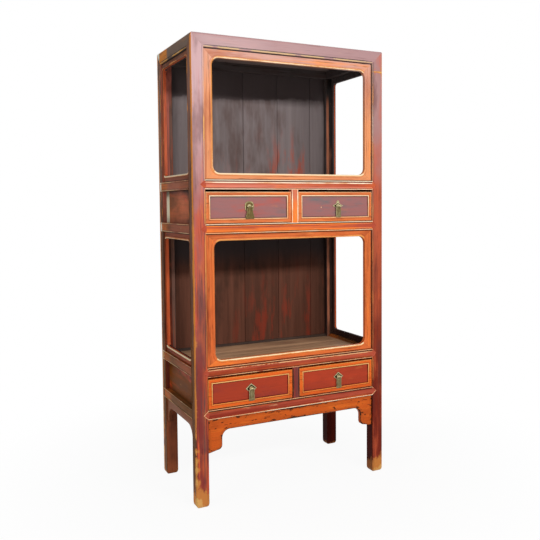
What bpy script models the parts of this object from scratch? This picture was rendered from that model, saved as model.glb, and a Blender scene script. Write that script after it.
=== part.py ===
"""An open scholar's cabinet: two bays and two rows of drawers on four posts.

Metres, +Z up. The front faces -Y, and the origin is on the floor, midway between the posts.
Each joint follows one rule: the piece that is let in keeps its size, and its host is cut with a
copy of it that is larger by FIT.
"""

import math
from dataclasses import dataclass

import bmesh
import bpy
from mathutils import Matrix, Vector

# Carcass, over the outer faces of the posts
WIDTH = 0.850
DEPTH = 0.430
POST_W = 0.050
POST_D = 0.046
FOOT_BEVEL = 0.004

# Heights, stacked from the floor up
LEG_H = 0.3395
RAIL_H = 0.037
LOWER_DRAWER_H = 0.1265
LOWER_BAY_H = 0.512
UPPER_DRAWER_H = 0.1315
UPPER_BAY_H = 0.4905
TOP_RAIL_H = 0.052

# Joints
FIT = 0.0003
CUT_MARGIN = 0.010
RAIL_T = 0.038
TENON_INSET = 0.015
TENON_T = 0.012
TENON_WALL = 0.003
MITRE = 0.020
TONGUE_T = 0.012
LAP = 0.030
SHELF_HOUSING = 0.006
PANEL_HOUSING = 0.006

# Raised beads along the edges of posts and rails
BEAD_R = 0.0025
BEAD_RISE = 0.0015
BEAD_EDGE = 0.0005
BEAD_STOP = 0.002

# Boards
SHELF_T = 0.012
SHELF_DROP = 0.010
TOP_PANEL_T = 0.012
TOP_PANEL_DROP = 0.005
SIDE_PANEL_T = 0.010
SIDE_PANEL_INSET = 0.018
REAR_BOARD_T = 0.024
REAR_BOARD_INSET = 0.010
REAR_TENON_T = 0.010
BACK_PANEL_T = 0.010
BACK_BOARD_W = 0.170
BACK_GROOVE_W = 0.002
BACK_GROOVE_DEPTH = 0.0015
GUIDE_W = 0.010
GUIDE_H = 0.018
GUIDE_STOP = 0.002

# Stiles between the drawers
STILE_X = 0.005
STILE_W = 0.030
STILE_T = 0.026
STILE_TENON_W = 0.016
STILE_TENON_T = 0.010
STILE_TENON_INSET = 0.006
STILE_TENON_L = 0.010

# Fret frames round the bays
FRET_INSET = 0.006
FRET_T = 0.014
FRET_SILL = 0.025
FRET_LOWER_HEAD = 0.027
FRONT_FRET_STILE = 0.034
FRONT_FRET_UPPER_HEAD = 0.034
FRONT_FRET_CORNER_R = 0.028
SIDE_FRET_STILE = 0.013
SIDE_FRET_UPPER_HEAD = 0.022
SIDE_FRET_CORNER_R = 0.015
FRET_BEAD_R = 0.004
FRET_BEAD_RISE = 0.002
FRET_BEAD_EDGE = 0.0005

# Aprons under the lowest rails
APRON_INSET = 0.006
APRON_T = 0.016
FRONT_APRON_H = 0.048
FRONT_SPANDREL_W = 0.058
FRONT_SPANDREL_DROP = 0.133
FRONT_SPANDREL_RISE = 0.009
FRONT_APRON_R = 0.032
FRONT_SPANDREL_FOOT_R = 0.018
SIDE_APRON_H = 0.036
SIDE_SPANDREL_W = 0.016
SIDE_SPANDREL_DROP = 0.105
SIDE_SPANDREL_RISE = 0.003
SIDE_APRON_R = 0.050
SIDE_SPANDREL_FOOT_R = 0.008

# Drawers
DRAWER_INSET = 0.003
DRAWER_SIDE_GAP = 0.002
DRAWER_FOOT_GAP = 0.0025
DRAWER_HEAD_GAP = 0.009
DRAWER_FRONT_T = 0.018
DRAWER_BORDER = 0.017
DRAWER_FIELD_DEPTH = 0.004
DRAWER_BEAD_R = 0.0025
DRAWER_BEAD_RISE = 0.0012
DRAWER_BEAD_CORNER = 0.005
DRAWER_REAR_GAP = 0.010
BOX_SIDE_GAP = 0.001
BOX_DROP = 0.012
BOX_SIDE_T = 0.010
BOX_BACK_T = 0.010
BOX_BOTTOM_T = 0.008

# Pulls
PULL_RAISE = 0.003
PULL_SHIFT = {"left": 0.0, "right": 0.010}
PLATE_T = 0.002
PLATE_HALF_W = 0.021
PLATE_HALF_H = 0.021
PLATE_WAIST = 0.003
PIVOT_OUT = 0.005
SHANK_R = 0.0015
SHANK_OUT = 0.003
PIN_R = 0.0015
LUG_HALF = 0.0028
LUG_W = 0.003
LUG_GAP = 0.0004
LUG_CLEAR = 0.0006
BARREL_R = 0.0032
BARREL_L = 0.014
TAB_T = 0.0025
TAB_TOP_W = 0.025
TAB_FOOT_W = 0.028
TAB_DROP = 0.048
TAB_CHAMFER = 0.003

# Facets
ARC_STEPS = 5
TUBE_RESOLUTION = 1
BARREL_SIDES = 20
WELD = 1e-6

# Levels that follow from the heights
LOWER_DRAWER_RAIL = (LEG_H, LEG_H + RAIL_H)
LOWER_SHELF_RAIL = (LOWER_DRAWER_RAIL[1] + LOWER_DRAWER_H, LOWER_DRAWER_RAIL[1] + LOWER_DRAWER_H + RAIL_H)
UPPER_DRAWER_RAIL = (LOWER_SHELF_RAIL[1] + LOWER_BAY_H, LOWER_SHELF_RAIL[1] + LOWER_BAY_H + RAIL_H)
UPPER_SHELF_RAIL = (UPPER_DRAWER_RAIL[1] + UPPER_DRAWER_H, UPPER_DRAWER_RAIL[1] + UPPER_DRAWER_H + RAIL_H)
TOP_RAIL = (UPPER_SHELF_RAIL[1] + UPPER_BAY_H, UPPER_SHELF_RAIL[1] + UPPER_BAY_H + TOP_RAIL_H)
HEIGHT = TOP_RAIL[1]
RAIL_LEVELS = {
    "upper_shelf": UPPER_SHELF_RAIL,
    "upper_drawer": UPPER_DRAWER_RAIL,
    "lower_shelf": LOWER_SHELF_RAIL,
    "lower_drawer": LOWER_DRAWER_RAIL,
}
# Each row of drawers with the rail under it and the rail over it
DRAWER_ROWS = {
    "upper": (UPPER_DRAWER_RAIL, UPPER_SHELF_RAIL),
    "lower": (LOWER_DRAWER_RAIL, LOWER_SHELF_RAIL),
}
# Each open bay with the member under it and the member over it
BAYS = {
    "upper": (UPPER_SHELF_RAIL, TOP_RAIL),
    "lower": (LOWER_SHELF_RAIL, UPPER_DRAWER_RAIL),
}
# The width of a fret's head over each bay
FRONT_FRET_HEADS = {"upper": FRONT_FRET_UPPER_HEAD, "lower": FRET_LOWER_HEAD}
SIDE_FRET_HEADS = {"upper": SIDE_FRET_UPPER_HEAD, "lower": FRET_LOWER_HEAD}

# Plan sizes that follow from the carcass
HALF_W = WIDTH / 2
HALF_D = DEPTH / 2
CLEAR_HALF_W = HALF_W - POST_W
CLEAR_HALF_D = HALF_D - POST_D
FRONT_TENON_L = POST_W - TENON_INSET - TENON_T - TENON_WALL
SIDE_TENON_L = POST_D - TENON_INSET - TENON_WALL
TENON_SHOULDER = PANEL_HOUSING + TENON_WALL
REAR_BOARD_Y = (HALF_D - REAR_BOARD_INSET - REAR_BOARD_T, HALF_D - REAR_BOARD_INSET)
BACK_PANEL_FRONT_Y = REAR_BOARD_Y[0] + SHELF_HOUSING + TENON_WALL
BACK_PANEL_Y = (BACK_PANEL_FRONT_Y, BACK_PANEL_FRONT_Y + BACK_PANEL_T)
DRAWER_FRONT_Y = (-HALF_D + DRAWER_INSET, -HALF_D + DRAWER_INSET + DRAWER_FRONT_T)
FIELD_Y = DRAWER_FRONT_Y[0] + DRAWER_FIELD_DEPTH
PLATE_Y = (FIELD_Y - FIT - PLATE_T, FIELD_Y - FIT)
PIVOT_Y = PLATE_Y[0] - PIVOT_OUT
TAB_SHOULDER = LUG_HALF * math.sqrt(2) + LUG_CLEAR

SIGNS = {"left": -1, "right": 1}
ENDS = {"front": -1, "rear": 1}

# Colour, roughness and metallic value of each finish
FINISHES = {
    "red_lacquer": ((0.30, 0.075, 0.055), 0.45, 0.0),
    "orange_lacquer": ((0.62, 0.19, 0.05), 0.42, 0.0),
    "drawer_lacquer": ((0.42, 0.09, 0.045), 0.42, 0.0),
    "side_lacquer": ((0.13, 0.05, 0.03), 0.55, 0.0),
    "dark_board": ((0.07, 0.05, 0.04), 0.75, 0.0),
    "shelf_board": ((0.16, 0.10, 0.06), 0.70, 0.0),
    "drawer_wood": ((0.34, 0.22, 0.12), 0.75, 0.0),
    "aged_brass": ((0.42, 0.31, 0.12), 0.40, 1.0),
}


@dataclass(frozen=True)
class Face:
    """One upright side of the carcass, with its outer plane and half of its clear span."""

    name: str
    along: int
    outer: float
    inward: int
    clear: float

    def point(self, along, depth, z):
        """A point from its place along the side, its depth behind the outer plane and its height."""
        across = self.outer + self.inward * depth
        return Vector((along, across, z) if self.along == 0 else (across, along, z))

    def box(self, along, depth, height):
        """The lowest and highest corners of a box given by three ranges."""
        first = self.point(along[0], depth[0], height[0])
        second = self.point(along[1], depth[1], height[1])
        low = Vector(map(min, first, second))
        high = Vector(map(max, first, second))
        return low, high

    def board(self, outlines, depth):
        """A board parallel to this side, from outlines in length and height, between two depths."""
        turn = Matrix(((1, 0, 0), (0, 0, -1), (0, 1, 0)))
        if self.along == 1:
            turn = Matrix(((0, 0, 1), (1, 0, 0), (0, 1, 0)))
        middle = self.point(0, (depth[0] + depth[1]) / 2, 0)
        return board(outlines, depth[1] - depth[0], Matrix.Translation(middle) @ turn.to_4x4())


FRONT = Face("front", 0, -HALF_D, 1, CLEAR_HALF_W)
LEFT = Face("left", 1, -HALF_W, 1, CLEAR_HALF_D)
RIGHT = Face("right", 1, HALF_W, -1, CLEAR_HALF_D)
SHOWN_FACES = (FRONT, LEFT, RIGHT)


def clear_scene():
    """Removes what the file holds and makes the two collections."""
    for obj in list(bpy.data.objects):
        bpy.data.objects.remove(obj, do_unlink=True)
    for name in ("Scholar cabinet", "Cutters"):
        bpy.context.scene.collection.children.link(bpy.data.collections.new(name))


def finish(name):
    """The material of a finish, made when it is first asked for."""
    material = bpy.data.materials.get(name)
    if material:
        return material
    colour, roughness, metallic = FINISHES[name]
    material = bpy.data.materials.new(name)
    material.use_nodes = True
    shader = material.node_tree.nodes["Principled BSDF"]
    shader.inputs["Base Color"].default_value = (*colour, 1.0)
    shader.inputs["Roughness"].default_value = roughness
    shader.inputs["Metallic"].default_value = metallic
    material.diffuse_color = (*colour, 1.0)
    return material


def add_object(name, shape, collection, origin):
    """An object that holds a shape given in world coordinates, with its own origin."""
    origin = Vector(origin)
    bmesh.ops.translate(shape, verts=shape.verts, vec=-origin)
    bmesh.ops.recalc_face_normals(shape, faces=shape.faces)
    mesh = bpy.data.meshes.new(name)
    shape.to_mesh(mesh)
    shape.free()
    obj = bpy.data.objects.new(name, mesh)
    obj.location = origin
    bpy.data.collections[collection].objects.link(obj)
    return obj


def centre_of(shape):
    """The middle of a shape's bounding box."""
    low = Vector([min(v.co[axis] for v in shape.verts) for axis in range(3)])
    high = Vector([max(v.co[axis] for v in shape.verts) for axis in range(3)])
    return (low + high) / 2


def part(name, shape, finish_name, origin=None, parent=None):
    """One piece of the cabinet, which becomes a named object with its finish."""
    obj = add_object(name, shape, "Scholar cabinet", centre_of(shape) if origin is None else origin)
    obj.data.materials.append(finish(finish_name))
    if parent:
        obj.location -= parent.location
        obj.parent = parent
    return obj


def helper(name, shape):
    """A shape that only cuts or joins others."""
    obj = add_object(name, shape, "Cutters", (0, 0, 0))
    obj.hide_render = True
    obj.display_type = "WIRE"
    return obj


def combine(host, tool, operation):
    """Adds a Boolean of the tool to the host."""
    modifier = host.modifiers.new(f"{operation} {tool.name}", "BOOLEAN")
    modifier.operation = operation
    modifier.solver = "EXACT"
    modifier.object = tool


def cut(hosts, tool):
    """Cuts one tool out of several hosts."""
    for host in hosts:
        combine(host, tool, "DIFFERENCE")


def add_box(shape, low, high):
    """Adds a box between two corners to a shape."""
    low, high = Vector(low), Vector(high)
    size = Matrix.Diagonal(high - low).to_4x4()
    bmesh.ops.create_cube(shape, size=1.0, matrix=Matrix.Translation((low + high) / 2) @ size)


def box(low, high):
    """A new shape of one box."""
    shape = bmesh.new()
    add_box(shape, low, high)
    return shape


def grown(low, high, by=FIT):
    """The corners of a box that is larger all round."""
    margin = Vector((by, by, by))
    return Vector(low) - margin, Vector(high) + margin


def add_rod(shape, centre, radius, length, turn_axis="Y"):
    """Adds a cylinder to a shape: along X, or along Y when it is turned about X."""
    turn = Matrix.Rotation(math.pi / 2, 4, turn_axis)
    bmesh.ops.create_cone(
        shape,
        cap_ends=True,
        segments=BARREL_SIDES,
        radius1=radius,
        radius2=radius,
        depth=length,
        matrix=Matrix.Translation(centre) @ turn,
    )


def baked(curve, matrix):
    """The mesh that a curve makes, welded and put in place, as a shape."""
    obj = bpy.data.objects.new("guide", curve)
    bpy.context.scene.collection.objects.link(obj)
    graph = bpy.context.evaluated_depsgraph_get()
    mesh = bpy.data.meshes.new_from_object(obj.evaluated_get(graph))
    shape = bmesh.new()
    shape.from_mesh(mesh)
    bmesh.ops.remove_doubles(shape, verts=shape.verts, dist=WELD)
    shape.transform(matrix)
    bpy.data.objects.remove(obj, do_unlink=True)
    bpy.data.meshes.remove(mesh)
    bpy.data.curves.remove(curve)
    return shape


def add_spline(curve, points, closed):
    """Adds straight runs through points to a curve."""
    spline = curve.splines.new("POLY")
    spline.points.add(len(points) - 1)
    for target, point in zip(spline.points, points):
        target.co = (*point, 1.0)
    spline.use_cyclic_u = closed


def board(outlines, thickness, matrix):
    """A flat board: the first outline is its edge, and the others are its openings."""
    curve = bpy.data.curves.new("outline", "CURVE")
    curve.dimensions = "2D"
    curve.fill_mode = "BOTH"
    curve.extrude = thickness / 2
    for outline in outlines:
        add_spline(curve, [(x, y, 0.0) for x, y in outline], closed=True)
    return baked(curve, matrix)


def beads(paths, radius, closed):
    """Round beads along one or more paths, as one shape of separate tubes."""
    curve = bpy.data.curves.new("bead", "CURVE")
    curve.dimensions = "3D"
    curve.bevel_depth = radius
    curve.bevel_resolution = TUBE_RESOLUTION
    curve.use_fill_caps = True
    for path in paths:
        add_spline(curve, path, closed)
    return baked(curve, Matrix.Identity(4))


def arc(centre, radius, start, end):
    """Points of an arc, with its angles in degrees."""
    angles = [math.radians(start + (end - start) * step / ARC_STEPS) for step in range(ARC_STEPS + 1)]
    return [(centre[0] + radius * math.cos(a), centre[1] + radius * math.sin(a)) for a in angles]


def rectangle(low, high):
    """An outline from its lower left to its upper right corner."""
    return [low, (high[0], low[1]), high, (low[0], high[1])]


def rounded_rectangle(low, high, radius):
    """A rectangle with round corners."""
    points = arc((low[0] + radius, low[1] + radius), radius, 180, 270)
    points += arc((high[0] - radius, low[1] + radius), radius, 270, 360)
    points += arc((high[0] - radius, high[1] - radius), radius, 0, 90)
    points += arc((low[0] + radius, high[1] - radius), radius, 90, 180)
    return points


def inset_outline(outline, distance):
    """A convex outline, counter-clockwise, moved inwards by a distance, or outwards if negative."""
    moved = []
    for index, corner in enumerate(outline):
        before = Vector(outline[index - 1])
        corner = Vector(corner)
        after = Vector(outline[(index + 1) % len(outline)])
        first = (corner - before).normalized()
        second = (after - corner).normalized()
        normals = (Vector((-first.y, first.x)), Vector((-second.y, second.x)))
        bisector = (normals[0] + normals[1]).normalized()
        moved.append(tuple(corner + bisector * distance / bisector.dot(normals[0])))
    return moved


def shave(shape, point, normal):
    """Cuts away what lies beyond a plane and closes the cut."""
    geometry = shape.verts[:] + shape.edges[:] + shape.faces[:]
    bmesh.ops.bisect_plane(shape, geom=geometry, plane_co=point, plane_no=normal, clear_outer=True)
    bmesh.ops.holes_fill(shape, edges=shape.edges)


def mitre_corner(shape, member_axis, sign_x, sign_y):
    """Cuts a member for the three-way mitre at one top corner, where it meets the other two."""
    corner = Vector((sign_x * HALF_W, sign_y * HALF_D, HEIGHT))
    slopes = (
        Vector((-sign_x / POST_W, 0, 0)),
        Vector((0, -sign_y / POST_D, 0)),
        Vector((0, 0, -1 / TOP_RAIL_H)),
    )
    for axis in range(3):
        if axis != member_axis:
            normal = (slopes[axis] - slopes[member_axis]).normalized()
            shave(shape, corner - normal * FIT / 2, normal)


def bead_zones():
    """The stretches of a post between its rails, which carry beads."""
    members = [LOWER_DRAWER_RAIL, LOWER_SHELF_RAIL, UPPER_DRAWER_RAIL, UPPER_SHELF_RAIL, TOP_RAIL]
    return [(below[1] + BEAD_STOP, above[0] - BEAD_STOP) for below, above in zip(members, members[1:])]


def make_post(side, end):
    """A post with worn foot edges, a mitred top and beads on its inner edges."""
    sign_x, sign_y = SIGNS[side], ENDS[end]
    outer = (sign_x * HALF_W, sign_y * HALF_D)
    inner = (sign_x * CLEAR_HALF_W, sign_y * CLEAR_HALF_D)
    shape = box((*map(min, outer, inner), 0), (*map(max, outer, inner), HEIGHT))
    foot_edges = [edge for edge in shape.edges if all(vert.co.z < FOOT_BEVEL for vert in edge.verts)]
    bmesh.ops.bevel(shape, geom=foot_edges, offset=FOOT_BEVEL, segments=1, affect="EDGES")
    mitre_corner(shape, 2, sign_x, sign_y)
    post = part(f"post_{end}_{side}", shape, "red_lacquer")

    side_face = LEFT if side == "left" else RIGHT
    depth = BEAD_R - BEAD_RISE
    inset = BEAD_R + BEAD_EDGE
    paths = []
    for low, high in bead_zones():
        along = sign_y * (CLEAR_HALF_D + inset)
        paths.append([side_face.point(along, depth, low), side_face.point(along, depth, high)])
        if end == "front":
            along = sign_x * (CLEAR_HALF_W + inset)
            paths.append([FRONT.point(along, depth, low), FRONT.point(along, depth, high)])
    combine(post, helper(f"beads of {post.name}", beads(paths, BEAD_R, closed=False)), "UNION")
    return post


def make_top_rail(end_or_side):
    """A top rail, mitred into the posts and into the two rails beside it."""
    if end_or_side in ENDS:
        sign = ENDS[end_or_side]
        outer, inner = sign * HALF_D, sign * CLEAR_HALF_D
        shape = box((-HALF_W, min(outer, inner), TOP_RAIL[0]), (HALF_W, max(outer, inner), HEIGHT))
        for sign_x in SIGNS.values():
            mitre_corner(shape, 0, sign_x, sign)
    else:
        sign = SIGNS[end_or_side]
        outer, inner = sign * HALF_W, sign * CLEAR_HALF_W
        shape = box((min(outer, inner), -HALF_D, TOP_RAIL[0]), (max(outer, inner), HALF_D, HEIGHT))
        for sign_y in ENDS.values():
            mitre_corner(shape, 1, sign, sign_y)
    return part(f"top_rail_{end_or_side}", shape, "red_lacquer")


def bead_top_rail(rail, face):
    """Adds the bead along the lower edge of a top rail."""
    reach = face.clear - BEAD_STOP
    z = TOP_RAIL[0] + BEAD_R + BEAD_EDGE
    depth = BEAD_R - BEAD_RISE
    path = [face.point(-reach, depth, z), face.point(reach, depth, z)]
    combine(rail, helper(f"bead of {rail.name}", beads([path], BEAD_R, closed=False)), "UNION")


def rail_outline(face, level):
    """What shows of a rail from outside: mitred points on the front, a lap on the rear posts."""
    low, high = level
    middle = (low + high) / 2
    clear = face.clear
    if face is FRONT:
        tip = clear + MITRE
        return [(-clear, low), (clear, low), (tip, middle), (clear, high), (-clear, high), (-tip, middle)]
    return rectangle((-clear + FIT, low), (clear + LAP, high))


def make_rail(face, level_name, finish_name):
    """A rail with its tenons, its tongues let into the posts' faces, and a bead round its edge.

    Returns the rail and the helper that cuts its seat into the posts.
    """
    level = RAIL_LEVELS[level_name]
    name = f"rail_{face.name}_{level_name}"
    clear = face.clear - FIT
    rail = part(name, box(*face.box((-clear, clear), (0, RAIL_T), level)), finish_name)

    outline = rail_outline(face, level)
    tongue = face.board([inset_outline(outline, FIT / 2)], (FIT / 2, TONGUE_T))
    combine(rail, helper(f"tongue of {name}", tongue), "UNION")

    tenon_l = FRONT_TENON_L if face is FRONT else SIDE_TENON_L
    reach = face.clear + tenon_l
    tenon_z = (level[0] + TENON_SHOULDER, level[1] - TENON_SHOULDER)
    tenon = face.box((-reach, reach), (TENON_INSET, TENON_INSET + TENON_T), tenon_z)
    combine(rail, helper(f"tenons of {name}", box(*tenon)), "UNION")

    path = [face.point(x, BEAD_R - BEAD_RISE, z) for x, z in inset_outline(outline, BEAD_R + BEAD_EDGE)]
    combine(rail, helper(f"bead of {name}", beads([path], BEAD_R, closed=True)), "UNION")

    seat = face.board([inset_outline(outline, -FIT / 2)], (-CUT_MARGIN, TONGUE_T + FIT))
    add_box(seat, *grown(*tenon))
    return rail, helper(f"seat of {name}", seat)


def make_rear_board(row):
    """The wide board behind a row of drawers, tenoned into the rear posts."""
    below, above = DRAWER_ROWS[row]
    clear = CLEAR_HALF_W - FIT
    shape = box((-clear, REAR_BOARD_Y[0], below[0]), (clear, REAR_BOARD_Y[1], above[1]))
    rear_board = part(f"rear_board_{row}", shape, "dark_board")
    middle = (REAR_BOARD_Y[0] + REAR_BOARD_Y[1]) / 2
    reach = CLEAR_HALF_W + FRONT_TENON_L
    low = (-reach, middle - REAR_TENON_T / 2, below[0] + TENON_SHOULDER)
    high = (reach, middle + REAR_TENON_T / 2, above[1] - TENON_SHOULDER)
    combine(rear_board, helper(f"tenons of {rear_board.name}", box(low, high)), "UNION")
    return rear_board, helper(f"seat of {rear_board.name}", box(*grown(low, high)))


def make_shelf(name, top, finish_name):
    """A shelf or dust board, notched round the posts, and the helper that cuts its housing."""
    x = HALF_W - RAIL_T + SHELF_HOUSING
    low = (-x, -HALF_D + RAIL_T - SHELF_HOUSING, top - SHELF_T)
    high = (x, REAR_BOARD_Y[0] + SHELF_HOUSING, top)
    shelf = part(name, box(low, high), finish_name)
    notches = bmesh.new()
    for sign_x in SIGNS.values():
        for sign_y in ENDS.values():
            near = (sign_x * (CLEAR_HALF_W - FIT), sign_y * (CLEAR_HALF_D - FIT))
            far = (sign_x * (HALF_W + CUT_MARGIN), sign_y * (HALF_D + CUT_MARGIN))
            bottom = (*map(min, near, far), low[2] - CUT_MARGIN)
            add_box(notches, bottom, (*map(max, near, far), high[2] + CUT_MARGIN))
    cut([shelf], helper(f"notches of {name}", notches))
    return shelf, helper(f"housing of {name}", box(*grown(low, high)))


def add_drawer_guides(dust_board, row):
    """Fixes the guides that keep a row of drawers straight to its dust board."""
    top = DRAWER_ROWS[row][0][1]
    low, high = top - SHELF_T / 2, top + GUIDE_H
    reach = CLEAR_HALF_D - FIT - GUIDE_STOP
    shape = bmesh.new()
    for sign in SIGNS.values():
        near, far = sign * CLEAR_HALF_W, sign * (CLEAR_HALF_W + GUIDE_W)
        add_box(shape, (min(near, far), -reach, low), (max(near, far), reach, high))
    start = -HALF_D + max(STILE_T, RAIL_T) + GUIDE_STOP
    stop = REAR_BOARD_Y[0] - GUIDE_STOP
    half = STILE_W / 2
    add_box(shape, (STILE_X - half, start, low), (STILE_X + half, stop, high))
    combine(dust_board, helper(f"guides of {dust_board.name}", shape), "UNION")


def make_stile(row):
    """The stile between two drawers, tenoned into the rails, with a bead on each edge."""
    below, above = DRAWER_ROWS[row]
    low, high = below[1] + FIT, above[0] - FIT
    half = STILE_W / 2
    corners = FRONT.box((STILE_X - half, STILE_X + half), (0, STILE_T), (low, high))
    stile = part(f"stile_{row}", box(*corners), "red_lacquer")
    tenon_x = (STILE_X - STILE_TENON_W / 2, STILE_X + STILE_TENON_W / 2)
    depth = (STILE_TENON_INSET, STILE_TENON_INSET + STILE_TENON_T)
    tenon_z = (below[1] - STILE_TENON_L, above[0] + STILE_TENON_L)
    tenon = FRONT.box(tenon_x, depth, tenon_z)
    combine(stile, helper(f"tenons of {stile.name}", box(*tenon)), "UNION")
    paths = []
    for sign in SIGNS.values():
        along = STILE_X + sign * (half - BEAD_R - BEAD_EDGE)
        ends = (low + BEAD_STOP, high - BEAD_STOP)
        paths.append([FRONT.point(along, BEAD_R - BEAD_RISE, z) for z in ends])
    combine(stile, helper(f"beads of {stile.name}", beads(paths, BEAD_R, closed=False)), "UNION")
    return stile, helper(f"seat of {stile.name}", box(*grown(*tenon)))


def make_side_panel(face, row):
    """The panel that closes a side behind the drawers, let into the posts and rails."""
    below, above = DRAWER_ROWS[row]
    reach = face.clear + PANEL_HOUSING
    depth = (SIDE_PANEL_INSET, SIDE_PANEL_INSET + SIDE_PANEL_T)
    corners = face.box((-reach, reach), depth, (below[1] - PANEL_HOUSING, above[0] + PANEL_HOUSING))
    name = f"side_panel_{face.name}_{row}"
    return part(name, box(*corners), "side_lacquer"), helper(f"groove of {name}", box(*grown(*corners)))


def make_back_panel(bay):
    """The back of a bay: upright boards glued edge to edge, with a groove at each joint."""
    below, above = BAYS[bay]
    reach = CLEAR_HALF_W + PANEL_HOUSING
    low = (-reach, BACK_PANEL_Y[0], below[1] - PANEL_HOUSING)
    high = (reach, BACK_PANEL_Y[1], above[0] + PANEL_HOUSING)
    panel = part(f"back_panel_{bay}", box(low, high), "dark_board")
    groove = helper(f"groove of {panel.name}", box(*grown(low, high)))
    joints = bmesh.new()
    for count in range(1, math.ceil(2 * CLEAR_HALF_W / BACK_BOARD_W)):
        x = -CLEAR_HALF_W + count * BACK_BOARD_W
        first = (x - BACK_GROOVE_W / 2, low[1] - CUT_MARGIN, low[2] - CUT_MARGIN)
        add_box(joints, first, (x + BACK_GROOVE_W / 2, low[1] + BACK_GROOVE_DEPTH, high[2] + CUT_MARGIN))
    cut([panel], helper(f"joints of {panel.name}", joints))
    return panel, groove


def make_top_panel():
    """The roof board, which floats in a groove of the top rails."""
    top = HEIGHT - TOP_PANEL_DROP
    reach = Vector((CLEAR_HALF_W + PANEL_HOUSING, CLEAR_HALF_D + PANEL_HOUSING, 0))
    low = Vector((0, 0, top - TOP_PANEL_T)) - reach
    high = Vector((0, 0, top)) + reach
    panel = part("top_panel", box(low, high), "dark_board")
    return panel, helper(f"groove of {panel.name}", box(*grown(low, high)))


def make_fret(face, bay):
    """A flat frame with a round-cornered opening and a raised bead round it."""
    below, above = BAYS[bay]
    if face is FRONT:
        stile, head, corner_r = FRONT_FRET_STILE, FRONT_FRET_HEADS[bay], FRONT_FRET_CORNER_R
    else:
        stile, head, corner_r = SIDE_FRET_STILE, SIDE_FRET_HEADS[bay], SIDE_FRET_CORNER_R
    clear = face.clear - FIT
    edge = rectangle((-clear, below[1] + FIT), (clear, above[0] - FIT))
    low = (-face.clear + stile, below[1] + FRET_SILL)
    high = (face.clear - stile, above[0] - head)
    opening = rounded_rectangle(low, high, corner_r)
    fret = part(
        f"fret_{face.name}_{bay}",
        face.board([edge, opening], (FRET_INSET, FRET_INSET + FRET_T)),
        "orange_lacquer",
    )
    inset = FRET_BEAD_R + FRET_BEAD_EDGE
    path = rounded_rectangle(
        (low[0] - inset, low[1] - inset), (high[0] + inset, high[1] + inset), corner_r + inset
    )
    depth = FRET_INSET + FRET_BEAD_R - FRET_BEAD_RISE
    loop = beads([[face.point(x, depth, z) for x, z in path]], FRET_BEAD_R, closed=True)
    combine(fret, helper(f"bead of {fret.name}", loop), "UNION")
    return fret


def make_apron(face):
    """A board under the lowest rail whose ends drop to slanted spandrels, with round corners between."""
    if face is FRONT:
        height, width, drop, rise = FRONT_APRON_H, FRONT_SPANDREL_W, FRONT_SPANDREL_DROP, FRONT_SPANDREL_RISE
        corner_r, foot_r = FRONT_APRON_R, FRONT_SPANDREL_FOOT_R
    else:
        height, width, drop, rise = SIDE_APRON_H, SIDE_SPANDREL_W, SIDE_SPANDREL_DROP, SIDE_SPANDREL_RISE
        corner_r, foot_r = SIDE_APRON_R, SIDE_SPANDREL_FOOT_R
    half = face.clear - FIT
    top = LOWER_DRAWER_RAIL[0] - FIT
    foot = LOWER_DRAWER_RAIL[0] - drop
    under = LOWER_DRAWER_RAIL[0] - height
    left = [(-half, foot)]
    left += arc((-half + width - foot_r, foot + rise + foot_r), foot_r, -90, 0)
    left += arc((-half + width + corner_r, under - corner_r), corner_r, 180, 90)
    outline = left + [(-x, z) for x, z in reversed(left)] + [(half, top), (-half, top)]
    shape = face.board([outline], (APRON_INSET, APRON_INSET + APRON_T))
    return part(f"apron_{face.name}", shape, "orange_lacquer")


def drawer_range(row, side):
    """The corners of a drawer's front board."""
    below, above = DRAWER_ROWS[row]
    sign = SIGNS[side]
    near = STILE_X + sign * (STILE_W / 2 + DRAWER_SIDE_GAP)
    far = sign * (CLEAR_HALF_W - DRAWER_SIDE_GAP)
    x = sorted((near, far))
    low = Vector((x[0], DRAWER_FRONT_Y[0], below[1] + DRAWER_FOOT_GAP))
    high = Vector((x[1], DRAWER_FRONT_Y[1], above[0] - DRAWER_HEAD_GAP))
    return low, high


def make_drawer_front(name, low, high, slide):
    """A drawer's front: a flat border round a sunk field, with a bead between them."""
    front = part(f"{name}_front", box(low, high), "drawer_lacquer", parent=slide)
    border = Vector((DRAWER_BORDER, 0, DRAWER_BORDER))
    sunk_low = low + border - Vector((0, CUT_MARGIN, 0))
    sunk_high = high - border
    sunk_high.y = FIELD_Y
    cut([front], helper(f"field of {front.name}", box(sunk_low, sunk_high)))
    inset = DRAWER_BORDER - DRAWER_BEAD_R / 2
    path = rounded_rectangle(
        (low.x + inset, low.z + inset), (high.x - inset, high.z - inset), DRAWER_BEAD_CORNER
    )
    depth = DRAWER_INSET + DRAWER_BEAD_R - DRAWER_BEAD_RISE
    loop = beads([[FRONT.point(x, depth, z) for x, z in path]], DRAWER_BEAD_R, closed=True)
    combine(front, helper(f"bead of {front.name}", loop), "UNION")
    return front


def make_drawer_box(name, row, low, high, slide):
    """A drawer's box: two sides, a back and a bottom, open in front where the front board closes it."""
    outer_low = Vector((low.x + BOX_SIDE_GAP, high.y + FIT, DRAWER_ROWS[row][0][1] + FIT))
    outer_high = Vector((high.x - BOX_SIDE_GAP, REAR_BOARD_Y[0] - DRAWER_REAR_GAP, high.z - BOX_DROP))
    drawer_box = part(f"{name}_box", box(outer_low, outer_high), "drawer_wood", parent=slide)
    inner_low = outer_low + Vector((BOX_SIDE_T, -CUT_MARGIN, BOX_BOTTOM_T))
    inner_high = outer_high + Vector((-BOX_SIDE_T, -BOX_BACK_T, CUT_MARGIN))
    cut([drawer_box], helper(f"inside of {drawer_box.name}", box(inner_low, inner_high)))


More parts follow.
